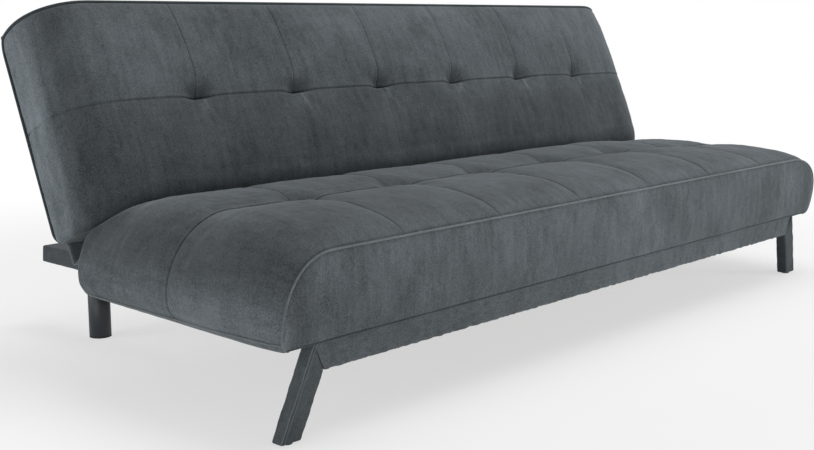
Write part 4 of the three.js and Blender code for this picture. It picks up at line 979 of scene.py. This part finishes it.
def rounded_loop(u, v, radius=CLOTH_CORNER, across=10, corner=5):
    """Points round a rectangle with rounded corners, given by low and high values of u and v."""
    radius = min(radius, (u[1] - u[0]) / 2.01, (v[1] - v[0]) / 2.01)
    low_u, high_u, low_v, high_v = u[0] + radius, u[1] - radius, v[0] + radius, v[1] - radius
    arcs = [[np.array((cu + radius * math.cos(a), cv + radius * math.sin(a)))
             for a in np.radians(turn + np.linspace(0, 90, corner))]
            for turn, cu, cv in ((0, high_u, high_v), (90, low_u, high_v), (180, low_u, low_v),
                                 (270, high_u, low_v))]
    loop = []
    for arc, after in zip(arcs, arcs[1:] + arcs[:1]):
        side = after[0] - arc[-1]
        loop += arc + [arc[-1] + side * k / across for k in range(1, across)]
    return np.array(loop + loop[:1])


def bunched(low, high, middle_step, count=8, reach=0.006):
    """Places from low to high, close together near both ends."""
    near = reach * (1 - np.cos(np.linspace(0, math.pi / 2, count)))[:-1]
    inner = np.linspace(low + reach, high - reach, max(int((high - low) / middle_step), 2))
    return np.concatenate([low + near, inner, (high - near)[::-1]])


def wrapped_bar(name, rings, seed, wrinkle, size=0.045, end_round=0.0025):
    """Cloth pulled round a bar, closed at both ends, with small wrinkles, from rings of points."""
    rings = np.asarray(rings)
    centre = rings[:, :-1].mean(axis=1, keepdims=True)
    out = rings - centre
    out /= np.linalg.norm(out, axis=2, keepdims=True)
    around = lengths_along(rings[len(rings) // 2])
    along = lengths_along(centre[:, 0])
    wave = ripple(along[:, None], around[None, :] * 0.35, size, seed)
    wave += 0.5 * ripple(along[:, None], around[None, :] * 0.5, size / 3, seed + 1)
    wave[:, -1] = wave[:, 0]
    pulled = corner_in(end_round, np.minimum(along, along[-1] - along)[:, None])
    moved = rings + out * (wrinkle * wave - pulled)[..., None]
    caps = []
    for end in (0, -1):
        middle = moved[end][:-1].mean(axis=0)
        caps.append([middle + (moved[end] - middle) * k for k in (0.0, 0.5, 0.85)])
    points = np.concatenate([np.array(caps[0]), moved, np.array(caps[1][::-1])])
    steps = np.concatenate([[along[0]] * 3, along, [along[-1]] * 3])
    return make_mesh(name, (points, stacked(around, steps[:, None])))


def mitre_x(z):
    """Where the rail's end meets the leg at a height."""
    return MITRE_LOW_X + (LEG_TOP_X - MITRE_LOW_X) * (z - RAIL_LOW) / (RAIL_HIGH - RAIL_LOW)


def front_rail():
    """The rail across the front, with its ends cut on the mitre."""
    loop = rounded_loop((RAIL_FRONT, RAIL_REAR), (RAIL_LOW, RAIL_HIGH), 0.0045)
    rings = [stacked((mitre_x(loop[:, 1]) - MITRE_GAP) * share, *loop.T)
             for share in bunched(-1, 1, 0.0055)]
    return wrapped_bar("front_rail_cloth", rings, 51, 0.0008, 0.035)


def front_leg(word, side):
    """A splayed and leaning leg, with its top cut on the mitre."""
    top_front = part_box(f"front_leg_{word}")[0].y
    rings = []
    for z in bunched(GLIDE_TOP, RAIL_HIGH - 0.0012, 0.003)[::-1]:
        outer = LEG_FOOT_X + (LEG_TOP_X - LEG_FOOT_X) * (z - GLIDE_TOP) / (RAIL_HIGH - GLIDE_TOP)
        drop = max(RAIL_LOW - z, 0) / (RAIL_LOW - GLIDE_TOP)
        below = MITRE_LOW_X + (LEG_FOOT_X - LEG_WIDTH - MITRE_LOW_X) * drop
        inner = mitre_x(z) if z > RAIL_LOW else below
        front = top_front + (RAIL_HIGH - z) * LEG_LEAN
        loop = rounded_loop((inner + MITRE_GAP, outer), (front, front + LEG_DEPTH))
        rings.append(stacked(loop[:, 0] * side, loop[:, 1], z))
    return wrapped_bar(f"front_leg_{word}_cloth", rings, 53 + side, 0.0005)


def side_beam(word, side):
    """A beam from the front rail to behind the seat, with its rear end leaning a little."""
    low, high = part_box(f"side_beam_{word}")
    loop = rounded_loop((low.x, high.x), (low.z, high.z - BEAM_LOWER))
    end = high.y - 0.001 + BEAM_END_LEAN * (high.z - loop[:, 1]) / (high.z - low.z)
    rings = [stacked(loop[:, 0], low.y + (end - low.y) * share, loop[:, 1])
             for share in bunched(0, 1, 0.007)]
    return wrapped_bar(f"side_beam_{word}_cloth", rings, 57 + side, 0.0004, 0.06, 0.003)


def cross_rail():
    """The rail between the rear ends of the beams."""
    low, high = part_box("cross_rail_rear")
    loop = rounded_loop((low.y, high.y), (low.z, high.z - CROSS_RAIL_LOWER))
    rings = [stacked(x, *loop.T) for x in bunched(low.x, high.x, 0.007)]
    return wrapped_bar("cross_rail_cloth", rings, 63, 0.0006, 0.06, 0.002)


def rear_leg(word, wall=0.002, edge=0.0008, sides=96):
    """A steel tube with its lower edge broken."""
    low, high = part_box(f"rear_leg_{word}")
    radius = (high.x - low.x) / 2
    inner = radius - wall
    profile = np.array([
        (inner, low.z), (radius - edge, low.z), (radius, low.z + edge), (radius, high.z),
        (inner, high.z), (inner, low.z)])
    angle = np.linspace(0, 2 * math.pi, sides + 1)
    points = stacked((low.x + high.x) / 2 + profile[:, :1] * np.cos(angle),
                     (low.y + high.y) / 2 + profile[:, :1] * np.sin(angle), profile[:, 1:])
    cloth = stacked(angle * 0.025, profile[:, 1:])
    return make_mesh(f"rear_leg_tube_{word}", (points, cloth))


def edge_seam(name, start, end, seed, radius=0.0011):
    """A sewn edge: a thin cord of cloth with a slight sway, from one point to another."""
    far = math.dist(start, end)
    share = np.linspace(0, 1, max(int(far / CORD_STEP), 8))
    path = np.array(start) + (np.array(end) - np.array(start)) * share[:, None]
    sway = 0.0005 * np.sin(share * math.pi)
    path[:, 1] += sway * ripple(share * far, 0 * share, 0.04, seed)
    path[:, 2] += sway * ripple(share * far, 0 * share + 1, 0.05, seed + 1)
    # The sewn edge takes the lighter piping velvet, a painted highlight
    finish_piece(tube(name, path, radius, 8), VELVET_PIPING_PAINTED_HIGHLIGHT, "velvet", "base")


def leg_seams(word, side, insets=(0.0006, 0.006)):
    """The two sewn edges down the outer side of a front leg."""
    leg_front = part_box(f"front_leg_{word}")[0].y
    foot_front = leg_front + (RAIL_HIGH - GLIDE_TOP) * LEG_LEAN
    for k, inset in enumerate(insets):
        edge_seam(f"front_leg_{word}_seam_{k + 1}",
                  (side * (LEG_TOP_X - inset), leg_front + 0.001 - 0.001 * k, RAIL_HIGH - 0.004),
                  (side * (LEG_FOOT_X - inset), foot_front + 0.001 - 0.001 * k, GLIDE_TOP + 0.003),
                  97 + k)


# The rear cross rail, the legs and the beams take the darker beam velvet, painted shade
finish_piece(front_rail(), VELVET_BASE, "velvet", "base", "front_rail")
finish_piece(cross_rail(), VELVET_BEAM_PAINTED_SHADE, "velvet", "base", "cross_rail_rear")
edge_seam("front_rail_seam", (-LEG_TOP_X, RAIL_FRONT - 0.0004, RAIL_HIGH - 0.002),
          (LEG_TOP_X, RAIL_FRONT - 0.0004, RAIL_HIGH - 0.002), 95)
for word, side in (("left", -1), ("right", 1)):
    finish_piece(front_leg(word, side), VELVET_BEAM_PAINTED_SHADE, "velvet", "base", f"front_leg_{word}")
    leg_seams(word, side)
    finish_piece(side_beam(word, side), VELVET_BEAM_PAINTED_SHADE, "velvet", "base", f"side_beam_{word}")
    finish_piece(rear_leg(word), BLACK_PAINT, "black_steel", "base", f"rear_leg_{word}")


# The strip of cloth between the pads

def hinge_strip(steps=14, sag_depth=0.004):
    """A V of cloth from the seat's rear edge down and up to the back's hem, open where the hinges
    pass it, with its flat size and its two held edges."""
    low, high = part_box("hinge_strip")
    hem = to_back(np.array([[0, 0.0, 0.005]]))[0]
    front = np.array([SEAT_FRONT + SEAT.length + 0.0008, high.z - 0.006])
    bottom = np.array([SEAT_FRONT + STRIP_BOTTOM[0], STRIP_BOTTOM[1]])
    back = np.array([hem[1], hem[2] - 0.0005])
    share = np.linspace(0, 1, steps + 1)[1:]
    profile = np.array([front, *[front + (bottom - front) * s for s in share],
                        *[bottom + (back - bottom) * s for s in share]])
    sag = np.zeros(len(profile))
    sag[1:steps] = np.sin(share[:-1] * math.pi) * sag_depth
    x = np.linspace(low.x, high.x, 260)
    length = lengths_along(profile)
    wave = 0.0015 * ripple(x[:, None], length[None, :], 0.12, 61)
    wave = wave * np.sin(np.linspace(0, math.pi, len(profile)))
    points = stacked(x[:, None], profile[:, 0] + wave, profile[:, 1] - sag + wave)
    middle = np.abs((x[1:] + x[:-1]) / 2)
    in_slot = (middle > STRIP_SLOT[0]) & (middle < STRIP_SLOT[1])
    on_seat_side = np.arange(2 * steps) < steps
    keep = ~(in_slot[:, None] & (points[1:, 1:, 2] > STRIP_SLOT_FROM) & on_seat_side)
    cloth = stacked(x[:, None], length)
    piece = make_mesh("hinge_strip_cloth", (points, cloth), keep=keep, merge=1e-5)
    thicken(piece, STRIP_THICKNESS)
    return piece, (x[-1] - x[0], length[-1]), front, back


strip, strip_size, strip_front, strip_back = hinge_strip()
# The hinge strip takes the lighter strip velvet, painted light
strip.data.materials.append(VELVET_STRIP_PAINTED_LIGHT)
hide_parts("hinge_strip")
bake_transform(strip)


# Covers, frames and fittings

def cover_sheet(name, node, place, size_x, size_l, thickness, seed):
    """A thin cloth panel with a slight wave, pulled flat at its edges."""
    x, length = np.meshgrid(np.linspace(-size_x, size_x, 160), np.linspace(*size_l, 60))
    edge = np.minimum(size_x - np.abs(x), np.minimum(length - size_l[0], size_l[1] - length))
    wave = 0.0002 * ripple(x, length, 0.2, seed) * np.clip(edge / 0.05, 0, 1)
    points = place(stacked(x, length, thickness + wave))
    piece = make_mesh(name, (points, stacked(x, length)), merge=1e-5)
    thicken(piece, COVER_THICKNESS)
    return piece


back_cover = cover_sheet("back_rear_cloth", "back_pad", to_back, *BACK_COVER, 71)
finish_piece(back_cover, DUST, "dust_cloth", "backrest", "back_rear_cover")

dust_low, dust_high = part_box("seat_dust_cover")
seat_cover = cover_sheet("seat_dust_cloth", "seat_pad", to_seat, dust_high.x,
                         (dust_low.y - SEAT_FRONT, dust_high.y - SEAT_FRONT), -0.0014, 73)
finish_piece(seat_cover, DUST, "dust_cloth", "base", "seat_dust_cover")

for name, node in frame["nodes"].items():
    if node.hide_render:
        continue
    if name.startswith(("seat_slat", "back_slat", "seat_frame", "back_frame", "cross_rail_middle")):
        material, bevel = PINE, 0.0015
    elif "glide" in name:
        material, bevel = GLIDE, 0.0006
    elif name.startswith("rear_leg_plate"):
        material, bevel = BLACK_PAINT, 0.0006
    else:
        material, bevel = ZINC, 0.0003
    node.data.materials.clear()
    node.data.materials.append(material)
    edge = node.modifiers.new("edges", "BEVEL")
    edge.width, edge.segments, edge.limit_method = bevel, 2, "ANGLE"


# Stage

def seen_directly(tree):
    """1 for what the camera sees, also in gloss or through glass."""
    rays = add(tree, "ShaderNodeLightPath")
    seen = rays.outputs["Is Camera Ray"]
    for ray in ("Is Glossy Ray", "Is Transmission Ray"):
        seen = calc(tree, "MAXIMUM", seen, rays.outputs[ray])
    return seen


def studio_floor():
    """A floor that catches the shadow, and turns white where it leaves the sofa."""
    bpy.ops.mesh.primitive_plane_add(size=20, location=(0, 0, -0.0002))
    floor = bpy.context.object
    floor.name = "studio_floor"
    material, tree, shader, space = new_material("studio_floor")
    fill(tree, shader, Base_Color=(0.93, 0.93, 0.93, 1), Roughness=0.9, Specular_IOR_Level=0.0)
    away = add(tree, "ShaderNodeVectorMath", {"operation": "LENGTH"}, _0=space).outputs["Value"]
    far = add(tree, "ShaderNodeMapRange", {"interpolation_type": "SMOOTHSTEP"}, Value=away,
              _1=FLOOR_FADE[0], _2=FLOOR_FADE[1], _3=FLOOR_WHITE, _4=1.0)
    seen = calc(tree, "MULTIPLY", seen_directly(tree), far)
    white = add(tree, "ShaderNodeEmission", Color=(1, 1, 1, 1), Strength=1.0)
    mixed = add(tree, "ShaderNodeMixShader", _0=seen, _1=shader, _2=white)
    fill(tree, tree.nodes["Material Output"], Surface=mixed)
    floor.data.materials.append(material)


def studio_world():
    """White to the camera, and a soft light for the rest."""
    world = bpy.data.worlds.new("studio")
    bpy.context.scene.world = world
    world.use_nodes = True
    tree = world.node_tree
    tree.nodes.clear()
    soft, white = [add(tree, "ShaderNodeBackground", Color=(1, 1, 1, 1), Strength=strength)
                   for strength in (WORLD_LIGHT, 1.0)]
    mixed = add(tree, "ShaderNodeMixShader", _0=seen_directly(tree), _1=soft, _2=white)
    add(tree, "ShaderNodeOutputWorld", Surface=mixed)


studio_floor()
studio_world()
for name, place, aim, size, power in LAMPS:
    lamp = bpy.data.lights.new(name, "AREA")
    lamp.shape, lamp.size, lamp.size_y, lamp.energy = "RECTANGLE", *size, power
    holder = link_object(name, lamp)
    holder.location = place
    holder.rotation_euler = (Vector(aim) - Vector(place)).to_track_quat("-Z", "Y").to_euler()
    holder.visible_camera = False

camera = bpy.data.cameras.new("camera")
camera.lens, camera.sensor_width = CAMERA_LENS, CAMERA_SENSOR
viewer = link_object("camera", camera)
viewer.location = CAMERA_AT
viewer.rotation_euler = (math.radians(CAMERA_DOWN), 0, math.radians(CAMERA_ROUND))
bpy.context.scene.camera = viewer
bpy.context.scene.view_settings.view_transform = "Standard"
